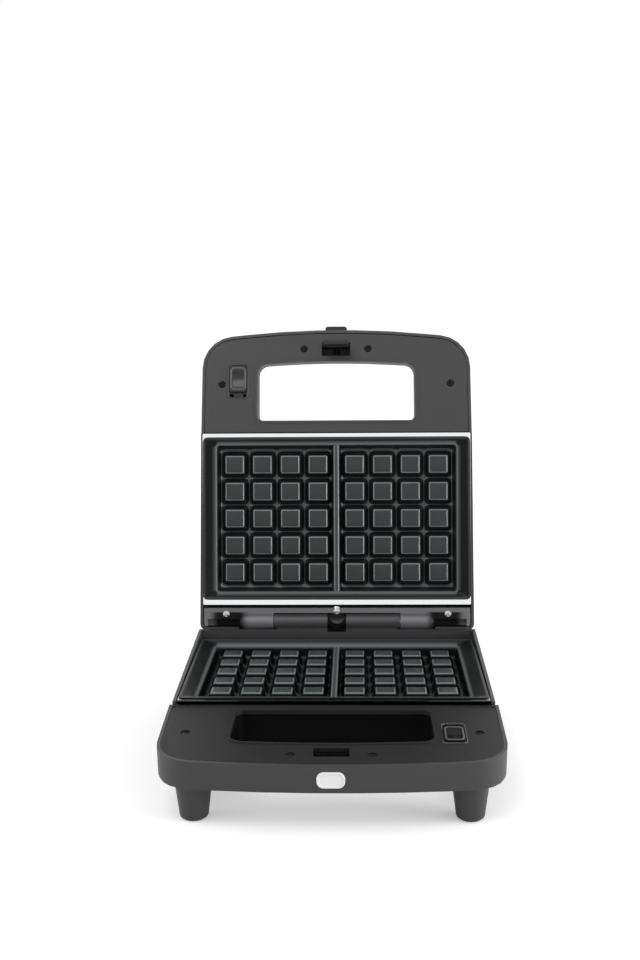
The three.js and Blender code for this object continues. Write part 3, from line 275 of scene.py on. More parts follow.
def place_half(points, upper):
    """Moves rows of half coordinates to the part's frame: lift, or turn about y and swing about the hinge."""
    s = sizes()
    p = np.array(points, dtype=float)
    if upper:
        p = p * np.array([-1.0, 1.0, -1.0])
    p[:, 2] -= s.hinge_rise
    if upper:
        c, n = math.cos(-s.open_angle), math.sin(-s.open_angle)
        y, z = p[:, 1].copy(), p[:, 2].copy()
        p[:, 1], p[:, 2] = y * c - z * n, y * n + z * c
    return p + np.array(HINGE_POINT)


def paint(mesh, slot, tone=1.0):
    """Gives a mesh one slot's finish and no other, as a lighter or darker copy when its share of painted light or
    shade is not 1.
    """
    mesh.materials.clear()
    mesh.materials.append(finish_of(slot, tone))


def add_piece(name, points, groups, body, replaced, slot, worn=None, coat=None, sharp=None, tone=1.0):
    """Makes one mesh from whole arrays of points and faces, rides it on its body and shades it smooth.

    Two values can be given at the points: how far the coat is rubbed or painted with a highlight, and
    its share of painted light or shade. Edges that turn by more than the sharp angle stay sharp. The
    painted light share of the finish gives a lighter or darker copy of it.
    """
    mesh = bpy.data.meshes.new(name)
    mesh.vertices.add(len(points))
    mesh.vertices.foreach_set("co", np.asarray(points, dtype=np.float32).ravel())
    mesh.loops.add(sum(g.size for g in groups))
    mesh.loops.foreach_set("vertex_index", np.concatenate([g.ravel() for g in groups]).astype(np.int32))
    counts = np.concatenate([np.full(len(g), g.shape[1]) for g in groups])
    mesh.polygons.add(len(counts))
    mesh.polygons.foreach_set("loop_start", (np.cumsum(counts) - counts).astype(np.int32))
    mesh.update(calc_edges=True)
    for label, values, blank in (("worn_edge", worn, 0.0), ("coat_tone", coat, 1.0)):
        if values is None:
            values = np.full(len(points), blank)
        layer = mesh.attributes.new(label, "FLOAT", "POINT")
        layer.data.foreach_set("value", np.asarray(values, dtype=np.float32))
    mesh.validate()
    mesh.shade_smooth()
    if sharp is not None:
        mesh.set_sharp_from_angle(angle=math.radians(sharp))
    paint(mesh, slot, tone)
    piece = bpy.data.objects.new(name, mesh)
    bpy.context.scene.collection.objects.link(piece)
    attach(piece, body)
    if replaced:
        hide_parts(*replaced)
    return piece


def grid_faces(rows, columns, first=0, flip=False):
    """Quads of a rows by columns grid of points."""
    r, c = np.meshgrid(np.arange(rows - 1), np.arange(columns - 1), indexing="ij")
    a = (first + r * columns + c).ravel()
    quads = np.stack([a, a + 1, a + 1 + columns, a + columns], axis=1)
    return quads[:, ::-1] if flip else quads


def band_faces(rings, count, closed=False):
    """Quads between closed rings of count points, and from the last ring to the first when closed."""
    r, c = np.meshgrid(np.arange(rings if closed else rings - 1), np.arange(count), indexing="ij")
    after, below = (c + 1) % count, (r + 1) % rings
    corners = [r * count + c, r * count + after, below * count + after, below * count + c]
    return np.stack(corners, axis=-1).reshape(-1, 4)


def ring_faces(rings, count):
    """Quads between closed rings, and triangles from the first and last rings to the two end points."""
    here = np.arange(count)
    after = (here + 1) % count
    last = (rings - 1) * count
    start, end = np.full(count, rings * count), np.full(count, rings * count + 1)
    caps = [np.stack([start, after, here], axis=1), np.stack([end, last + here, last + after], axis=1)]
    return [band_faces(rings, count), np.concatenate(caps)]


def loop_turns(count):
    """Cosines and sines of count even turns round a loop."""
    turns = np.linspace(0, 2 * np.pi, count, endpoint=False)
    return np.cos(turns), np.sin(turns)


def level_loop(x, y, z):
    """A loop of points at one height."""
    return np.stack([x, y, np.full(len(x), z)], axis=1)


def soft_ramp(t, k):
    """Ramp from 0 to 1 with both bends rounded: the half difference of two square roots."""
    return np.clip((np.sqrt(t * t + k) - np.sqrt((t - 1) ** 2 + k) + 1) / 2, 0, 1)


def band(distance, middle, width, level):
    """Band along an edge: the whole level within a quarter width of its middle, none past 1.25 widths."""
    return level * np.clip(1.25 - np.abs(distance - middle) / width, 0, 1)


def corner_distance(a, b, radius):
    """How far a point lies outside a rectangle whose sides are at a = 0 and b = 0, with rounded corners."""
    ra, rb = np.maximum(a + radius, 0), np.maximum(b + radius, 0)
    return np.where((ra > 0) & (rb > 0), np.hypot(ra, rb) - radius, np.maximum(a, b))


def plate_sizes(upper):
    """Sizes of one plate: the shared values, with the lower plate's own field and pegs."""
    s = sizes()
    values = {key: getattr(s, key) for key in MakerSizes.__annotations__}
    if not upper:
        for key in ("pitch_x", "peg_top_x", "peg_top_y", "field_half_width"):
            values[key] = values["lower_" + key]
    for part in ("plate", "field"):
        rear, front = values[part + "_rear"], values[part + "_front"]
        values[part + "_middle"] = (rear + front) / 2
        values[part + "_half_depth"] = (front - rear) / 2
    return SimpleNamespace(**values)


def plate_height(s, x, d, coat):
    """Upper surface of the plate as one height: crest, border slope, field wall, pegs and divider.

    The border runs straight from the crest to the field's edge. Inside the field the height is the
    highest of three ramps: down from each peg's edge, down from the field's edge, and down from the
    divider. The second value is how far the coat is rubbed, with a painted highlight, along every
    rounded edge. The third is the share of painted light and shade on the coat: full on the flats,
    painted shade on steep sides and on the border, painted light on the tops and valleys that the
    settings give, and a band of painted highlight beside the field. The last is the distance outside
    the field.
    """
    side, deep = np.abs(x), d - s.field_middle
    outside = corner_distance(side - s.field_half_width, np.abs(deep) - s.field_half_depth, s.field_corner)
    crest_fall = (s.crest_front_drop - s.crest_drop) / (s.plate_front - s.plate_rear)
    crest = -s.crest_drop - crest_fall * (d - s.plate_rear)
    border = np.clip(np.maximum.reduce([
        (side - s.field_half_width) / (s.plate_half_width - s.crest_width - s.field_half_width),
        (s.field_rear - d) / (s.field_rear - s.plate_rear - s.crest_width),
        (d - s.field_front) / (s.plate_front - s.crest_width - s.field_front),
    ]), 0, 1)
    border_height = -s.field_drop + (s.field_drop + crest) * border

    across = side - s.divider_space / 2
    column = np.clip(np.floor(across / s.pitch_x), 0, PEG_COLUMNS - 1)
    row = np.clip(np.round(deep / s.pitch_y), -(PEG_ROWS // 2), PEG_ROWS // 2)
    past_side = np.abs(across - (column + 0.5) * s.pitch_x) - s.peg_top_x / 2
    past_end = np.abs(deep - row * s.pitch_y) - s.peg_top_y / 2
    peg = corner_distance(past_side, past_end, s.rounding)
    bend = (s.rounding / s.skirt) ** 2
    divider_skirt = s.skirt * 0.62
    sunk = np.minimum.reduce([
        soft_ramp(peg / s.skirt, bend),
        soft_ramp(-outside / s.wall_skirt, bend),
        soft_ramp((side - s.divider_half) / divider_skirt, bend),
    ])
    z = np.where(outside > 0, border_height, -s.field_drop - s.peg_depth * sunk)

    inside = outside < 0
    inward = np.minimum.reduce([s.plate_half_width - side, d - s.plate_rear, s.plate_front - d])
    # Rubbed coat and painted highlight along every rounded edge
    worn = np.maximum.reduce([
        band(peg, *PEG_RUBBING_AND_HIGHLIGHT) * inside,
        band(outside, *WALL_RUBBING_AND_HIGHLIGHT),
        band(side - s.divider_half, *DIVIDER_RUBBING_AND_HIGHLIGHT) * inside,
        band(inward, *CREST_RUBBING_AND_HIGHLIGHT),
    ])

    # Tops fade out over the first twelfth of the depth and valleys fade in over the last eighth.
    # Steep sides fade in over the first ninth and out over the last sixth.
    tops = np.clip(1 - 12 * sunk, 0, 1)
    valleys = np.clip(8 * sunk - 7, 0, 1)
    steep = np.clip(9 * sunk, 0, 1) * np.clip(6 * (1 - sunk), 0, 1)
    # Painted light and shade: painted shade on steep sides, painted light on the pegs' tops and valley floors, and
    # on the border a darker share with a band of painted highlight
    tone = (1 - coat.steep * steep) * (1 + coat.tops * tops + coat.valleys * valleys)
    tone = np.where(outside > 0, coat.border + band(outside, *BORDER_HIGHLIGHT), tone)
    return z, worn, tone, outside


def feature_lines(marks, offsets, low, high):
    """Grid lines at set distances from each marked edge, with an even filling between and both ends."""
    filling, least_gap = 46, 0.00012
    lines = (marks[:, None] + offsets).ravel()
    lines = np.sort(np.concatenate([lines, np.linspace(low, high, filling), [low, high]]))
    lines = lines[(lines >= low) & (lines <= high)]
    keep = np.diff(lines, prepend=-np.inf) > least_gap
    keep[-1] = True
    return lines[keep]


def plate_lines(s):
    """Grid lines of a plate, across and along, gathered where its surface bends."""
    least_gap = 0.0001
    columns = s.divider_space / 2 + s.pitch_x * (np.arange(PEG_COLUMNS) + 0.5)
    right = np.sort(np.concatenate([
        feature_lines(columns + s.peg_top_x / 2, PEG_OFFSETS, 0, s.plate_half_width),
        feature_lines(columns - s.peg_top_x / 2, -PEG_OFFSETS, 0, s.plate_half_width),
        s.field_half_width - WALL_OFFSETS, s.plate_half_width - CREST_OFFSETS,
        s.divider_half + DIVIDER_OFFSETS, [0.0]]))
    right = right[np.diff(right, prepend=-np.inf) > least_gap]
    rows = s.field_middle + s.pitch_y * (np.arange(PEG_ROWS) - PEG_ROWS // 2)
    along = np.sort(np.concatenate([
        feature_lines(rows + s.peg_top_y / 2, PEG_OFFSETS, s.plate_rear, s.plate_front),
        feature_lines(rows - s.peg_top_y / 2, -PEG_OFFSETS, s.plate_rear, s.plate_front),
        s.field_rear + WALL_OFFSETS, s.field_front - WALL_OFFSETS,
        s.plate_rear + CREST_OFFSETS, s.plate_front - CREST_OFFSETS]))
    along = along[np.diff(along, prepend=-np.inf) > least_gap]
    return np.concatenate([-right[:0:-1], right]), along


def round_corners(s, x, d):
    """Draws in the points of the plate's four corner squares, so that each square becomes a quarter circle.

    A point's two steps from the circle's centre are both multiplied by one share: the larger of the
    steps over the distance that they make together.
    """
    straight_x, straight_d = s.plate_half_width - s.plate_corner, s.plate_half_depth - s.plate_corner
    step_x = np.abs(x) - straight_x
    step_d = np.abs(d - s.plate_middle) - straight_d
    corner = (step_x > 0) & (step_d > 0)
    far = np.hypot(np.maximum(step_x, 0), np.maximum(step_d, 0))
    share = np.maximum(step_x, step_d) / np.maximum(far, 1e-9)
    round_x = np.sign(x) * (straight_x + step_x * share)
    round_d = s.plate_middle + np.sign(d - s.plate_middle) * (straight_d + step_d * share)
    return np.where(corner, round_x, x), np.where(corner, round_d, d)


def waffle_plate(upper):
    """Plate as a height over a grid, an outer wall down to the rim, and an underside one skin lower.

    The underside is flat below the border and stays a least thickness under the upper surface.
    """
    # The underside takes half the light share: painted shade under the plate
    thinnest, rim_gap, rim_overlap, underside_shade = 0.0004, 0.00001, 0.001, 0.5
    s = plate_sizes(upper)
    x, d = round_corners(s, *np.meshgrid(*plate_lines(s), indexing="xy"))
    z, worn, tone, outside = plate_height(s, x, d, UPPER_PAINTED_LIGHT if upper else LOWER_PAINTED_LIGHT)
    rows, columns = x.shape
    count = rows * columns
    below = np.where(outside > -rim_overlap, -s.rim_drop - rim_gap, np.minimum(z - s.skin, -s.rim_drop))
    below = np.minimum(below, z - thinnest)
    points = [np.stack([x, -d, height], axis=-1).reshape(-1, 3) for height in (z, below)]
    rim = np.concatenate([
        np.arange(columns), np.arange(1, rows) * columns + columns - 1,
        (rows - 1) * columns + np.arange(columns - 2, -1, -1), np.arange(rows - 2, 0, -1) * columns])
    after = np.roll(rim, -1)
    wall = np.stack([after, after + count, rim + count, rim], axis=1)
    return add_piece(
        "upper_waffle_plate" if upper else "lower_waffle_plate",
        place_half(np.concatenate(points), upper),
        [grid_faces(rows, columns, flip=True), grid_faces(rows, columns, first=count), wall],
        "lid" if upper else "base", ["upper_plate" if upper else "lower_plate"], "nonstick_plate",
        worn=np.concatenate([worn.ravel(), np.zeros(count)]),
        coat=np.concatenate([tone.ravel(), np.full(count, underside_shade)]), sharp=60)


def node_points(node):
    """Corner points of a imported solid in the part's frame."""
    item = frame["nodes"][node]
    points = np.empty(len(item.data.vertices) * 3)
    item.data.vertices.foreach_get("co", points)
    turn = np.array(item.matrix_world)
    return points.reshape(-1, 3) @ turn[:3, :3].T + turn[:3, 3]


def screw_piece(name, node, body, slot):
    """Cross-head screw: a low dome with a tapered cross cut into it, over a plain shank.

    The rings run out over the head, down its side and along the shank. Inside the cross the height
    falls with the distance to the nearer arm, so the recess has sloping walls and a flat floor. The
    solid's axis is its longest direction, and its head is the wider end.
    """
    arm_half, arm_wall, arm_reach, arm_end = 0.17, 0.07, 0.68, 0.12
    dome, recess, rounded_side, head_height, shank_share = 0.20, 0.34, 0.24, 0.56, 0.5
    solid = node_points(node)
    centre = (solid.max(axis=0) + solid.min(axis=0)) / 2
    axis = np.linalg.eigh(np.cov((solid - centre).T))[1][:, 2]
    along = (solid - centre) @ axis
    wide = np.linalg.norm((solid - centre) - along[:, None] * axis, axis=1)
    if wide[along > along.mean()].mean() < wide[along < along.mean()].mean():
        axis, along = -axis, -along
    top, tall, radius = along.max(), along.max() - along.min(), wide.max()
    first = np.cross(axis, (1.0, 0.0, 0.0))
    first /= np.linalg.norm(first)
    second = np.cross(axis, first)
    cosine, sine = loop_turns(SCREW_POINTS)
    rings = []
    for share in HEAD_SHARES:
        u, v = share * cosine, share * sine
        arm = np.minimum(np.abs(u), np.abs(v))
        cross = np.clip((arm_half - arm) / arm_wall, 0, 1) * np.clip((arm_reach - share) / arm_end, 0, 1)
        rings.append(radius * np.stack([u, v, -dome * share ** 2 - recess * cross], axis=1))
    head, shank = radius * head_height, radius * shank_share
    profile = (
        (radius, -radius * rounded_side), (radius, -head), (shank, -head),
        (shank, shank * 0.4 - tall), (shank * 0.6, -tall),
    )
    rings += [level_loop(r * cosine, r * sine, h) for r, h in profile]
    local = np.concatenate([*rings, [[0, 0, -radius * recess], [0, 0, -tall]]])
    points = centre + axis * top + local @ np.array([first, second, axis])
    return add_piece(name, points, ring_faces(len(rings), SCREW_POINTS), body, [node], slot, sharp=40)


def foot_piece(name, node):
    """Moulded foot: a circle swept down a tapering profile.

    A bead runs round its top. The tip is rounded by a quarter ellipse and slightly hollow. Levels are
    shares of the foot's height above its tip.
    """
    solid = node_points(node)
    low, high = solid.min(axis=0), solid.max(axis=0)
    centre, height = (low + high) / 2, high[2] - low[2]
    wide = (high[0] - low[0]) / 2
    bead, neck, tip, tip_round, hollow = wide * 0.995, wide * 0.98, wide * 0.765, 0.0014, 0.0078
    neck_level, tip_level, hollow_level = 0.93, 0.08, 0.06
    profile = [(wide * 0.9, 1.0), (bead, 0.999), (bead, 0.96)]
    for t in np.linspace(0, 1, 9):
        profile.append((neck + (tip - neck) * t, neck_level + (tip_level - neck_level) * t))
    for bend in np.linspace(0, math.pi / 2, 7)[1:]:
        profile.append((tip - tip_round * (1 - math.cos(bend)), tip_level * (1 - math.sin(bend))))
    profile += [(hollow + 0.0001, 0.0), (hollow, hollow_level)]
    cosine, sine = loop_turns(LOOP_POINTS)
    rings = [level_loop(centre[0] + r * cosine, centre[1] + r * sine, low[2] + level * height)
             for r, level in profile]
    ends = [[centre[0], centre[1], high[2]], [centre[0], centre[1], low[2] + hollow_level * height]]
    points = np.concatenate([*rings, ends])
    groups = [g[:, ::-1] for g in ring_faces(len(rings), LOOP_POINTS)]
    return add_piece(name, points, groups, "base", [node], "housing_plastic", sharp=50)


def button_frame(name, upper, body, half_x, rear, front, lift, tone):
    """Bead round a release button or its dish: rounded rectangles that rise to a low crest and fall again.

    Each loop stands one step of the section outside the rectangle and follows the deck's fall. The
    bead takes a lighter copy of the button plastic, as a painted highlight.
    """
    cosine, sine = loop_turns(LOOP_POINTS)
    rings = []
    for out, rise in BEAD_SECTION:
        radius = BUTTON_CORNER + out
        x = BUTTON_X + cosine * radius + np.sign(cosine) * (half_x - BUTTON_CORNER)
        d = (rear + front) / 2 + sine * radius + np.sign(sine) * ((front - rear) / 2 - BUTTON_CORNER)
        deck = -DECK_DROP - (d - DECK_START) * DECK_SLOPE
        rings.append(np.stack([x, -d, deck + rise + lift], axis=1))
    points = place_half(np.concatenate(rings), upper)
    faces = band_faces(len(rings), LOOP_POINTS, closed=True)
    return add_piece(name, points, [faces], body, None, "dark_plastic", tone=tone)


def lens_piece():
    """Indicator lens: stadium loops that step in from a flange to a rounded edge, a raised rim and a dish.

    Each loop has an inset from the lens's outline and a depth behind its face.
    """
    flange, least_radius, end_share, rim_inset = 0.0014, 0.0004, 0.86, 0.0015
    solid = node_points("indicator_lens")
    low, high = solid.min(axis=0), solid.max(axis=0)
    centre = (low + high) / 2
    half_x, half_z = (high[0] - low[0]) / 2 - flange, (high[2] - low[2]) / 2 - flange
    back = high[1] - low[1]
    loops = (
        (-flange, back), (-flange, back - flange), (0, back - flange), (0, 0.0004), (0.00012, 0.00012),
        (0.0004, 0.0), (0.0012, 0.0), (rim_inset, 0.00012), (0.0018, 0.0003), (0.0028, 0.00026),
        (0.0038, 0.0002),
    )
    cosine, sine = loop_turns(LOOP_POINTS)
    rings, worn = [], []
    for inset, depth in loops:
        radius = max(half_z * end_share - inset, least_radius)
        flat_x, flat_z = max(half_x - inset - radius, 0), max(half_z - inset - radius, 0)
        rings.append(np.stack([
            centre[0] + cosine * radius + np.sign(cosine) * flat_x, np.full(LOOP_POINTS, low[1] + depth),
            centre[2] + sine * radius + np.sign(sine) * flat_z], axis=1))
        # Rings of the raised rim are marked for a painted highlight, which the lens's finish does not read
        worn.append(np.full(LOOP_POINTS, 1.0 if 0 < inset <= rim_inset else 0.0))
    ends = [[centre[0], high[1], centre[2]], [centre[0], low[1] + loops[-1][1], centre[2]]]
    return add_piece(
        "indicator_lens_form", np.concatenate([*rings, ends]), ring_faces(len(rings), LOOP_POINTS),
        "base", ["indicator_lens"], "white_lens", worn=np.concatenate([*worn, [0, 0]]), sharp=50)


def widen(work, node, spread):
    """Widens a cover about its middle: across by the first share, and up its slope by the second."""
    points = node_points(node)
    middle = Vector((points.min(axis=0) + points.max(axis=0)) / 2)
    slope = Vector(np.linalg.eigh(np.cov((points - points.mean(axis=0)).T))[1][:, 1])
    for vertex in work.verts:
        vertex.co.x *= spread[0]
        along = (vertex.co - middle).dot(slope)
        vertex.co += slope * along * (spread[1] - 1)


def reach_side_walls(work, outset):
    """Moves the lower handle cover's outer boundary sideways, up to its housing's walls.

    The moved stretch starts between two cuts across the cover. The move grows evenly from none to the
    whole outset, and leaves the screws' seats where they are.
    """
    rear_cut, front_cut, front_edge = 0.1628, 0.1634, 0.225
    grow_from, grow_to = 0.080, 0.094
    seat_x, seat_d, seat_radius = 0.0997, 0.2013, 0.0055
    for place in (rear_cut, front_cut):
        cut = Vector((0, HINGE_POINT.y - place, 0))
        everything = work.verts[:] + work.edges[:] + work.faces[:]
        bmesh.ops.bisect_plane(work, geom=everything, dist=1e-6, plane_co=cut, plane_no=(0, 1, 0))
    for vertex in work.verts:
        side, d = abs(vertex.co.x), HINGE_POINT.y - vertex.co.y
        boundary = side > grow_to or (d > front_edge and side > grow_from)
        on_seat = math.hypot(side - seat_x, d - seat_d) < seat_radius
        if d > (rear_cut + front_cut) / 2 and boundary and not on_seat:
            grow = outset * min(max((side - grow_from) / (grow_to - grow_from), 0), 1)
            vertex.co.x += math.copysign(grow, vertex.co.x)


def weigh_edges(work, body, crisp, rounded, lip):
    """Bevel weights of all edges that turn by 30 degrees or more.

    The weight is the crisp share, and 1 on two kinds of edge: those of a rounded piece that lie on its
    outer rim and face outwards, and those of the lip round the lower handle's opening. Outwards is
    level and away from the middle for the base, and away from the middle across and up for the rest.
    """
    side_rim, front_rim, top_rim, outward_least = 0.098, -0.135, 0.285, 0.45
    lip_side, lip_rear, lip_front = 0.058, 0.1665, 0.2205
    length_share = 0.6
    layers = work.edges.layers.float
    weights = layers.get("bevel_weight_edge") or layers.new("bevel_weight_edge")
    middle = Vector(CAD_BOX[0]).lerp(Vector(CAD_BOX[1]), 0.5)
    for edge in work.edges:
        if len(edge.link_faces) != 2 or edge.calc_face_angle(0) < math.radians(30):
            continue
        spot = (edge.verts[0].co + edge.verts[1].co) / 2
        if body == "base":
            outward = Vector((spot.x, (spot.y - middle.y) * length_share, 0)).normalized()
        else:
            outward = Vector((spot.x, 0, spot.z - middle.z)).normalized()
        facing = max(face.normal.dot(outward) for face in edge.link_faces)
        on_rim = abs(spot.x) > side_rim or spot.y < front_rim or spot.z > top_rim
        on_lip = lip and abs(spot.x) < lip_side and lip_rear < HINGE_POINT.y - spot.y < lip_front
        edge[weights] = 1.0 if on_lip or (rounded and on_rim and facing > outward_least) else crisp


def softened(name, node, body, slot, width, tone=1.0, spread=None, crisp=1.0, rounded=False, outset=0.0):
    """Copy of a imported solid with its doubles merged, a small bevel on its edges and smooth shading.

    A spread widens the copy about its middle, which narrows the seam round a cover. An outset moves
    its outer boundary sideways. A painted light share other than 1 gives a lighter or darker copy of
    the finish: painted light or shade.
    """
    mesh = frame["nodes"][node].data.copy()
    mesh.name = name
    work = bmesh.new()
    work.from_mesh(mesh)
    bmesh.ops.remove_doubles(work, verts=work.verts, dist=0.00002)
    bmesh.ops.dissolve_limit(work, angle_limit=math.radians(0.5), verts=work.verts, edges=work.edges)
    if spread:
        widen(work, node, spread)
    if outset:
        reach_side_walls(work, outset)
    weigh_edges(work, body, crisp, rounded, lip=outset > 0)
    work.to_mesh(mesh)
    work.free()
    if mesh.has_custom_normals:
        mesh.normals_split_custom_set([(0, 0, 0)] * len(mesh.loops))
    piece = bpy.data.objects.new(name, mesh)
    bpy.context.scene.collection.objects.link(piece)
    bevel = piece.modifiers.new("edge", "BEVEL")
    bevel.width = width
    bevel.segments = 2
    bevel.limit_method = "WEIGHT"
    even = piece.modifiers.new("even_shading", "WEIGHTED_NORMAL")
    even.keep_sharp = True
    paint(mesh, slot, tone)
    mesh.shade_smooth()
    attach(piece, body)
    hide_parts(node)
    return piece


def new_material(name):
    """A new material, its node tree and its shader."""
    material = bpy.data.materials.new(name)
    material.use_nodes = True
    tree = material.node_tree
    return material, tree, tree.nodes["Principled BSDF"]


def connect(tree, node, inputs):
    """Fills a node's inputs: a socket is linked, and any other value is set."""
    for key, value in inputs.items():
        if isinstance(value, bpy.types.NodeSocket):
            tree.links.new(value, node.inputs[key])
        else:
            node.inputs[key].default_value = value


def add_node(tree, kind, inputs=None, **options):
    """Adds a node with its options and inputs, and gives its outputs."""
    node = tree.nodes.new("ShaderNode" + kind)
    for key, value in options.items():
        setattr(node, key, value)
    connect(tree, node, inputs or {})
    return node.outputs


def maths(tree, operation, *values):
    """The result of one operation on sockets and numbers."""
    return add_node(tree, "Math", dict(enumerate(values)), operation=operation)["Value"]


def ranged(tree, source, low, high, start=0.0, end=1.0, ease="LINEAR"):
    """A value that runs from low to high while its source runs from start to end."""
    inputs = {"Value": source, "From Min": start, "From Max": end, "To Min": low, "To Max": high}
    return add_node(tree, "MapRange", inputs, interpolation_type=ease)["Result"]


def noise(tree, place, scale, detail):
    """Noise over a place."""
    return add_node(tree, "TexNoise", {"Vector": place, "Scale": scale, "Detail": detail})["Fac"]


def bump(tree, height, strength, distance):
    """The normal of a surface raised by a height."""
    return add_node(tree, "Bump", {"Height": height, "Strength": strength, "Distance": distance})["Normal"]


def blend(tree, share, first, second):
    """The first colour, with a share of the second."""
    return add_node(tree, "Mix", {"Factor": share, "A": first, "B": second}, data_type="RGBA")["Result"]


def dimmed(tree, source, share):
    """A colour times a share."""
    return add_node(tree, "VectorMath", {0: source, "Scale": share}, operation="SCALE")["Vector"]


def opaque(rgb, share=1.0):
    """A colour times a share, with full alpha."""
    return (*[value * share for value in rgb], 1)


def grained_plastic(name, rgb, roughness, grain, depth, gloss):
    """Moulded plastic: fine noise grain in the bump, slow drift in roughness and value."""
    rough_drift, value_drift = 0.05, 0.08
    material, tree, shader = new_material(name)
    place = add_node(tree, "TexCoord")["Object"]
    fine = noise(tree, place, scale=grain, detail=4)
    slow = noise(tree, place, scale=22, detail=3)
    connect(tree, shader, {
        "Normal": bump(tree, fine, strength=depth, distance=0.0002),
        "Roughness": ranged(tree, slow, roughness - rough_drift, roughness + rough_drift),
        "Base Color": blend(tree, slow, opaque(rgb, 1 - value_drift), opaque(rgb, 1 + value_drift)),
        "Specular IOR Level": gloss,
    })
    return material


def coat_plate(material, rubbed_and_highlit_rgb):
    """Sprayed coat on a plate: paler along edges with rubbing and painted highlight, and lighter and glossier or
    darker and duller with painted light and shade.
    """
    fullest_rubbing_and_highlight, gloss = 0.9, 0.46
    tree = material.node_tree
    shader = tree.nodes["Principled BSDF"]
    worn = add_node(tree, "Attribute", attribute_name="worn_edge")["Fac"]
    tone = add_node(tree, "Attribute", attribute_name="coat_tone")["Fac"]
    coat = dimmed(tree, shader.inputs["Base Color"].links[0].from_socket, tone)
    connect(tree, shader, {
        "Base Color": blend(tree, maths(tree, "MULTIPLY", worn, fullest_rubbing_and_highlight), coat, opaque(rubbed_and_highlit_rgb)),
        "Specular IOR Level": maths(tree, "MULTIPLY", tone, gloss),
    })


def shade_spaces(material, spaces, low, gloss):
    """Deep shade inside stated spaces: boxes with a middle, a half size and a blur on |X|, Y and Z.

    A point's share in a box is the product of its three shares along the axes. The largest share in
    any box takes the colour down towards the low share of it, and the gloss with it.
    """
    tree = material.node_tree
    shader = tree.nodes["Principled BSDF"]
    place = add_node(tree, "SeparateXYZ", {"Vector": add_node(tree, "TexCoord")["Object"]})
    sources = (maths(tree, "ABSOLUTE", place["X"]), place["Y"], place["Z"])
    total = 0.0
    for space in spaces:
        inside = 1.0
        for source, (middle, reach, blur) in zip(sources, space):
            away = maths(tree, "ABSOLUTE", maths(tree, "SUBTRACT", source, middle))
            share = ranged(tree, away, 0.0, 1.0, start=reach + blur, end=reach - blur, ease="SMOOTHSTEP")
            inside = maths(tree, "MULTIPLY", inside, share)
        total = maths(tree, "MAXIMUM", total, inside)
    lit = ranged(tree, total, 1.0, low)
    connect(tree, shader, {
        "Base Color": dimmed(tree, shader.inputs["Base Color"].links[0].from_socket, lit),
        "Specular IOR Level": maths(tree, "MULTIPLY", lit, gloss),
    })


def polished_metal(name, rgb, roughness, stretch):
    """Metal with fine drawn lines across it: noise stretched along x drives roughness, bump and value."""
    material, tree, shader = new_material(name)
    place = add_node(tree, "TexCoord")["Object"]
    spread = add_node(tree, "Mapping", {"Vector": place, "Scale": stretch})["Vector"]
    lines = noise(tree, spread, scale=60, detail=5)
    connect(tree, shader, {
        "Normal": bump(tree, lines, strength=0.08, distance=0.0001),
        "Roughness": ranged(tree, lines, roughness * 0.7, roughness * 1.4),
        "Base Color": blend(tree, lines, opaque(rgb, 0.85), opaque(rgb)),
        "Metallic": 1,
    })
    return material


def finish_of(slot, tone=1.0):
    """The material of one slot with its share of painted light or shade, made once and found again by name. A
    darker plastic copy, painted shade, is also less glossy.
    """
    name = "finish_" + slot + ("" if tone == 1.0 else "_%03d" % round(tone * 100))
    if name in bpy.data.materials:
        return bpy.data.materials[name]
    colours = bpy.context.scene.maker_colours
    key, roughness, *surface = (PLASTICS | METALS)[slot]
    rgb = [value * tone for value in getattr(colours, key)]
    if slot in METALS:
        return polished_metal(name, rgb, roughness, *surface)
    material = grained_plastic(name, rgb, roughness, *surface, gloss=0.5 * min(tone, 1))
    if slot == "housing_plastic":
        shade_spaces(material, DEEP_SPACES, low=0.10, gloss=0.5)
    elif slot == "deck_plastic":
        shade_spaces(material, HINGE_WELLS, low=0.08, gloss=0.5 * math.sqrt(tone))
    elif slot == "nonstick_plate":
        coat_plate(material, colours.rubbed_and_highlit_coating)
    return material


def make_floor(scene, settings):
    """Wide floor that shows some light of its own to the camera, less under the maker than far off: a painted
    shadow round the maker.
    """
    mesh = bpy.data.meshes.new("floor")
    mesh.from_pydata([(-6, -4, 0), (6, -4, 0), (6, 8, 0), (-6, 8, 0)], [], [(0, 1, 2, 3)])
    floor = bpy.data.objects.new("floor", mesh)
    scene.collection.objects.link(floor)
    material, tree, shader = new_material("floor_paint")
    place = add_node(tree, "TexCoord")["Object"]
    far = add_node(tree, "VectorMath", {0: place}, operation="LENGTH")["Value"]
    # Less light of its own near the maker: a painted shadow
    lift = ranged(
        tree, far, settings.painted_shadow_lift, settings.floor_lift, start=0.14, end=0.50, ease="SMOOTHSTEP")
    connect(tree, shader, {
        "Base Color": (0.80, 0.80, 0.80, 1),
        "Roughness": 0.9,
        "Specular IOR Level": 0.0,
        "Emission Color": (1, 1, 1, 1),
        "Emission Strength": maths(tree, "MULTIPLY", add_node(tree, "LightPath")["Is Camera Ray"], lift),
    })
    mesh.materials.append(material)


def light_world(scene, sky):
    """Even light from all round: white as it is seen and mirrored, and weaker as it lights the maker."""
    world = scene.world or bpy.data.worlds.new("world")
    scene.world = world
    world.use_nodes = True
    tree = world.node_tree
    tree.nodes.clear()
    path = add_node(tree, "LightPath")
    seen = maths(tree, "MAXIMUM", path["Is Camera Ray"], path["Is Glossy Ray"])
    seen = maths(tree, "MAXIMUM", seen, path["Is Transmission Ray"])
    weak, full = [add_node(tree, "Background", {"Color": (1, 1, 1, 1), "Strength": strength})["Background"]
                  for strength in (sky, 1.0)]
    surface = add_node(tree, "MixShader", {"Fac": seen, 1: weak, 2: full})["Shader"]
    add_node(tree, "OutputWorld", {"Surface": surface})


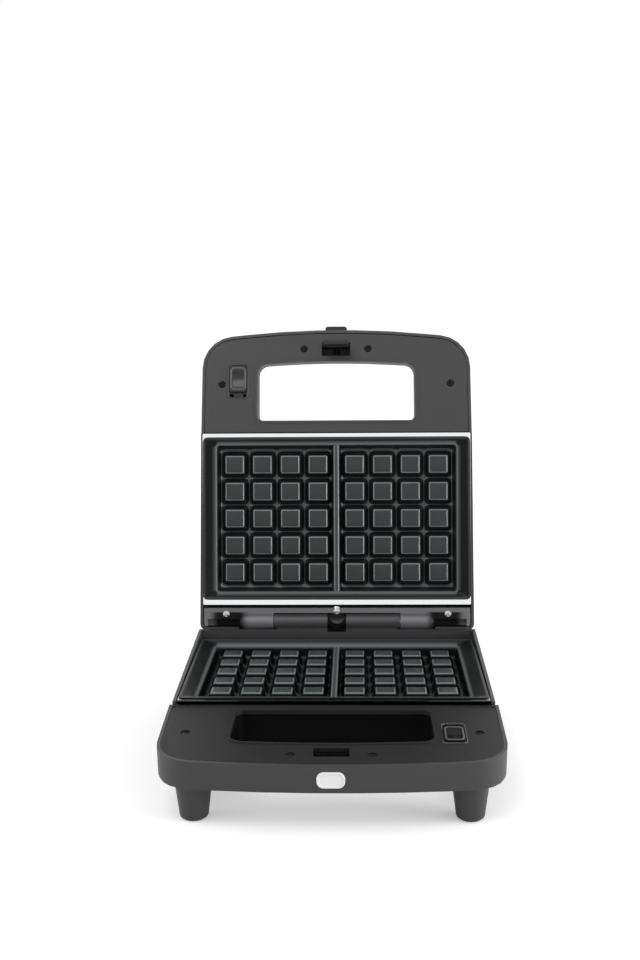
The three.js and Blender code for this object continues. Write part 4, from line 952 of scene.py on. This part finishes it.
def place_lamps(scene, settings):
    """Square soft lamps, each turned from its place towards its aim, with the side and power given."""
    key, fill, rim = settings.key, settings.fill, settings.rim
    for name, place, aim, size, power in (
        ("key_lamp", (-0.5, -0.9, 1.5), (0, 0, 0.1), 1.0, key),
        ("fill_lamp", (1.2, -0.7, 0.9), (0, 0, 0.1), 0.9, fill),
        ("left_lamp", (-1.3, 0.1, 0.45), (0, 0, 0.15), 0.8, rim),
        ("right_lamp", (1.3, 0.1, 0.45), (0, 0, 0.15), 0.8, rim * 1.2),
        ("low_right_lamp", (1.4, -0.46, 0.14), (0.1, -0.14, 0.04), 0.5, fill * 4.0),
        ("low_left_lamp", (-1.4, -0.36, 0.14), (-0.1, -0.14, 0.04), 0.5, fill),
    ):
        lamp = bpy.data.lights.new(name, "AREA")
        lamp.energy, lamp.size = power, size
        holder = bpy.data.objects.new(name, lamp)
        holder.location = place
        holder.rotation_euler = (Vector(aim) - Vector(place)).to_track_quat("-Z", "Y").to_euler()
        scene.collection.objects.link(holder)


def place_camera(scene, settings):
    """Camera at its place: level and facing along +y, then turned right, tipped down and rolled."""
    camera = bpy.data.cameras.new("camera")
    camera.sensor_width, camera.lens, camera.shift_x = 36.0, settings.lens, settings.shift_x
    camera.clip_start, camera.clip_end = 0.01, 50
    yaw, pitch, roll = settings.yaw, settings.pitch, settings.roll
    forward = Vector((math.sin(yaw) * math.cos(pitch), math.cos(yaw) * math.cos(pitch), -math.sin(pitch)))
    right = Vector((math.cos(yaw), -math.sin(yaw), 0))
    up = right.cross(forward)
    rolled_right = math.cos(roll) * right + math.sin(roll) * up
    rolled_up = math.cos(roll) * up - math.sin(roll) * right
    turn = Matrix((rolled_right, rolled_up, -forward)).transposed().to_4x4()
    eye = bpy.data.objects.new("camera", camera)
    eye.matrix_world = Matrix.Translation(Vector(settings.camera_place)) @ turn
    scene.collection.objects.link(eye)
    scene.camera = eye


class MAKER_OT_plates(bpy.types.Operator):
    """Make the two waffle plates"""

    bl_idname = "maker.plates"
    bl_label = "Waffle plates"

    def execute(self, context):
        waffle_plate(False)
        waffle_plate(True)
        return {"FINISHED"}


class MAKER_OT_housings(bpy.types.Operator):
    """Make the softened housings, covers and sliders"""

    bl_idname = "maker.housings"
    bl_label = "Housings and covers"

    def execute(self, context):
        for node, (body, slot, share, extra) in SOFT_PIECES.items():
            softened(node + "_form", node, body, slot, sizes().edge_soft * share, **extra)
        return {"FINISHED"}


class MAKER_OT_small_pieces(bpy.types.Operator):
    """Make the feet, the screws, the button beads and the lens"""

    bl_idname = "maker.small_pieces"
    bl_label = "Feet, screws, beads and lens"

    def execute(self, context):
        for corner in ("front_left", "front_right", "rear_left", "rear_right"):
            foot_piece("foot_" + corner + "_form", "foot_" + corner)
        for corner in ("left", "right", "inner_left", "inner_right"):
            screw_piece("base_screw_" + corner + "_form", "base_screw_" + corner, "base", "dark_screw")
            screw_piece("lid_screw_" + corner + "_form", "lid_screw_" + corner, "lid", "dark_screw")
        for place in ("left", "right", "middle"):
            screw_piece("hinge_screw_" + place + "_form", "hinge_screw_" + place, "lid", "steel")
        for half, body in (("lower", "base"), ("upper", "lid")):
            upper = half == "upper"
            # Frames and beads take lighter copies of the button plastic: painted highlights round the buttons
            button_frame(
                half + "_button_frame", upper, body,
                half_x=0.0074, rear=0.1886, front=0.2160, lift=0.0, tone=3.0)
            button_frame(
                half + "_button_bead", upper, half + "_release",
                half_x=0.0054, rear=0.1962, front=0.2132, lift=0.0011, tone=9.0)
        lens_piece()
        return {"FINISHED"}


class MAKER_OT_metalwork(bpy.types.Operator):
    """Dress the pans, heaters, springs and inner pieces"""

    bl_idname = "maker.metalwork"
    bl_label = "Metalwork and inner pieces"

    def execute(self, context):
        slots = {s["node"]: s["material_slot"] for s in frame["record"]["subparts"]}
        for node, item in frame["nodes"].items():
            if node + "_form" not in bpy.data.objects and node not in ("lower_plate", "upper_plate"):
                paint(item.data, slots[node], SHADED_TONES.get(node, 1.0))
        return {"FINISHED"}


class MAKER_OT_stage(bpy.types.Operator):
    """Make the floor, the light and the camera"""

    bl_idname = "maker.stage"
    bl_label = "Stage"

    def execute(self, context):
        scene = context.scene
        settings = scene.maker_stage
        make_floor(scene, settings)
        light_world(scene, settings.sky)
        place_lamps(scene, settings)
        place_camera(scene, settings)
        scene.view_settings.view_transform = "Standard"
        return {"FINISHED"}


class MAKER_PT_panel(bpy.types.Panel):
    """Lists the maker's pieces and sizes"""

    bl_idname = "MAKER_PT_panel"
    bl_label = "Waffle maker"
    bl_space_type = "VIEW_3D"
    bl_region_type = "UI"
    bl_category = "Waffle maker"

    def draw(self, context):
        for operator in OPERATORS:
            self.layout.operator(operator.bl_idname)
        for group in (context.scene.maker_sizes, context.scene.maker_colours, context.scene.maker_stage):
            box = self.layout.box()
            for name in group.__annotations__:
                box.prop(group, name)


OPERATORS = (MAKER_OT_plates, MAKER_OT_housings, MAKER_OT_small_pieces, MAKER_OT_metalwork, MAKER_OT_stage)
CLASSES = (MakerSizes, MakerColours, StageSettings, *OPERATORS, MAKER_PT_panel)


def register():
    """Registers the classes and hangs their settings on the scene."""
    for cls in CLASSES:
        bpy.utils.register_class(cls)
    bpy.types.Scene.maker_sizes = bpy.props.PointerProperty(type=MakerSizes)
    bpy.types.Scene.maker_colours = bpy.props.PointerProperty(type=MakerColours)
    bpy.types.Scene.maker_stage = bpy.props.PointerProperty(type=StageSettings)


def unregister():
    """Takes the settings and the classes away again."""
    for name in ("maker_stage", "maker_colours", "maker_sizes"):
        delattr(bpy.types.Scene, name)
    for cls in reversed(CLASSES):
        bpy.utils.unregister_class(cls)


def main():
    """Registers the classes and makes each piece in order."""
    register()
    bpy.ops.maker.plates()
    bpy.ops.maker.housings()
    bpy.ops.maker.small_pieces()
    bpy.ops.maker.metalwork()
    bpy.ops.maker.stage()
    bpy.context.view_layer.update()


if __name__ == "__main__":
    main()
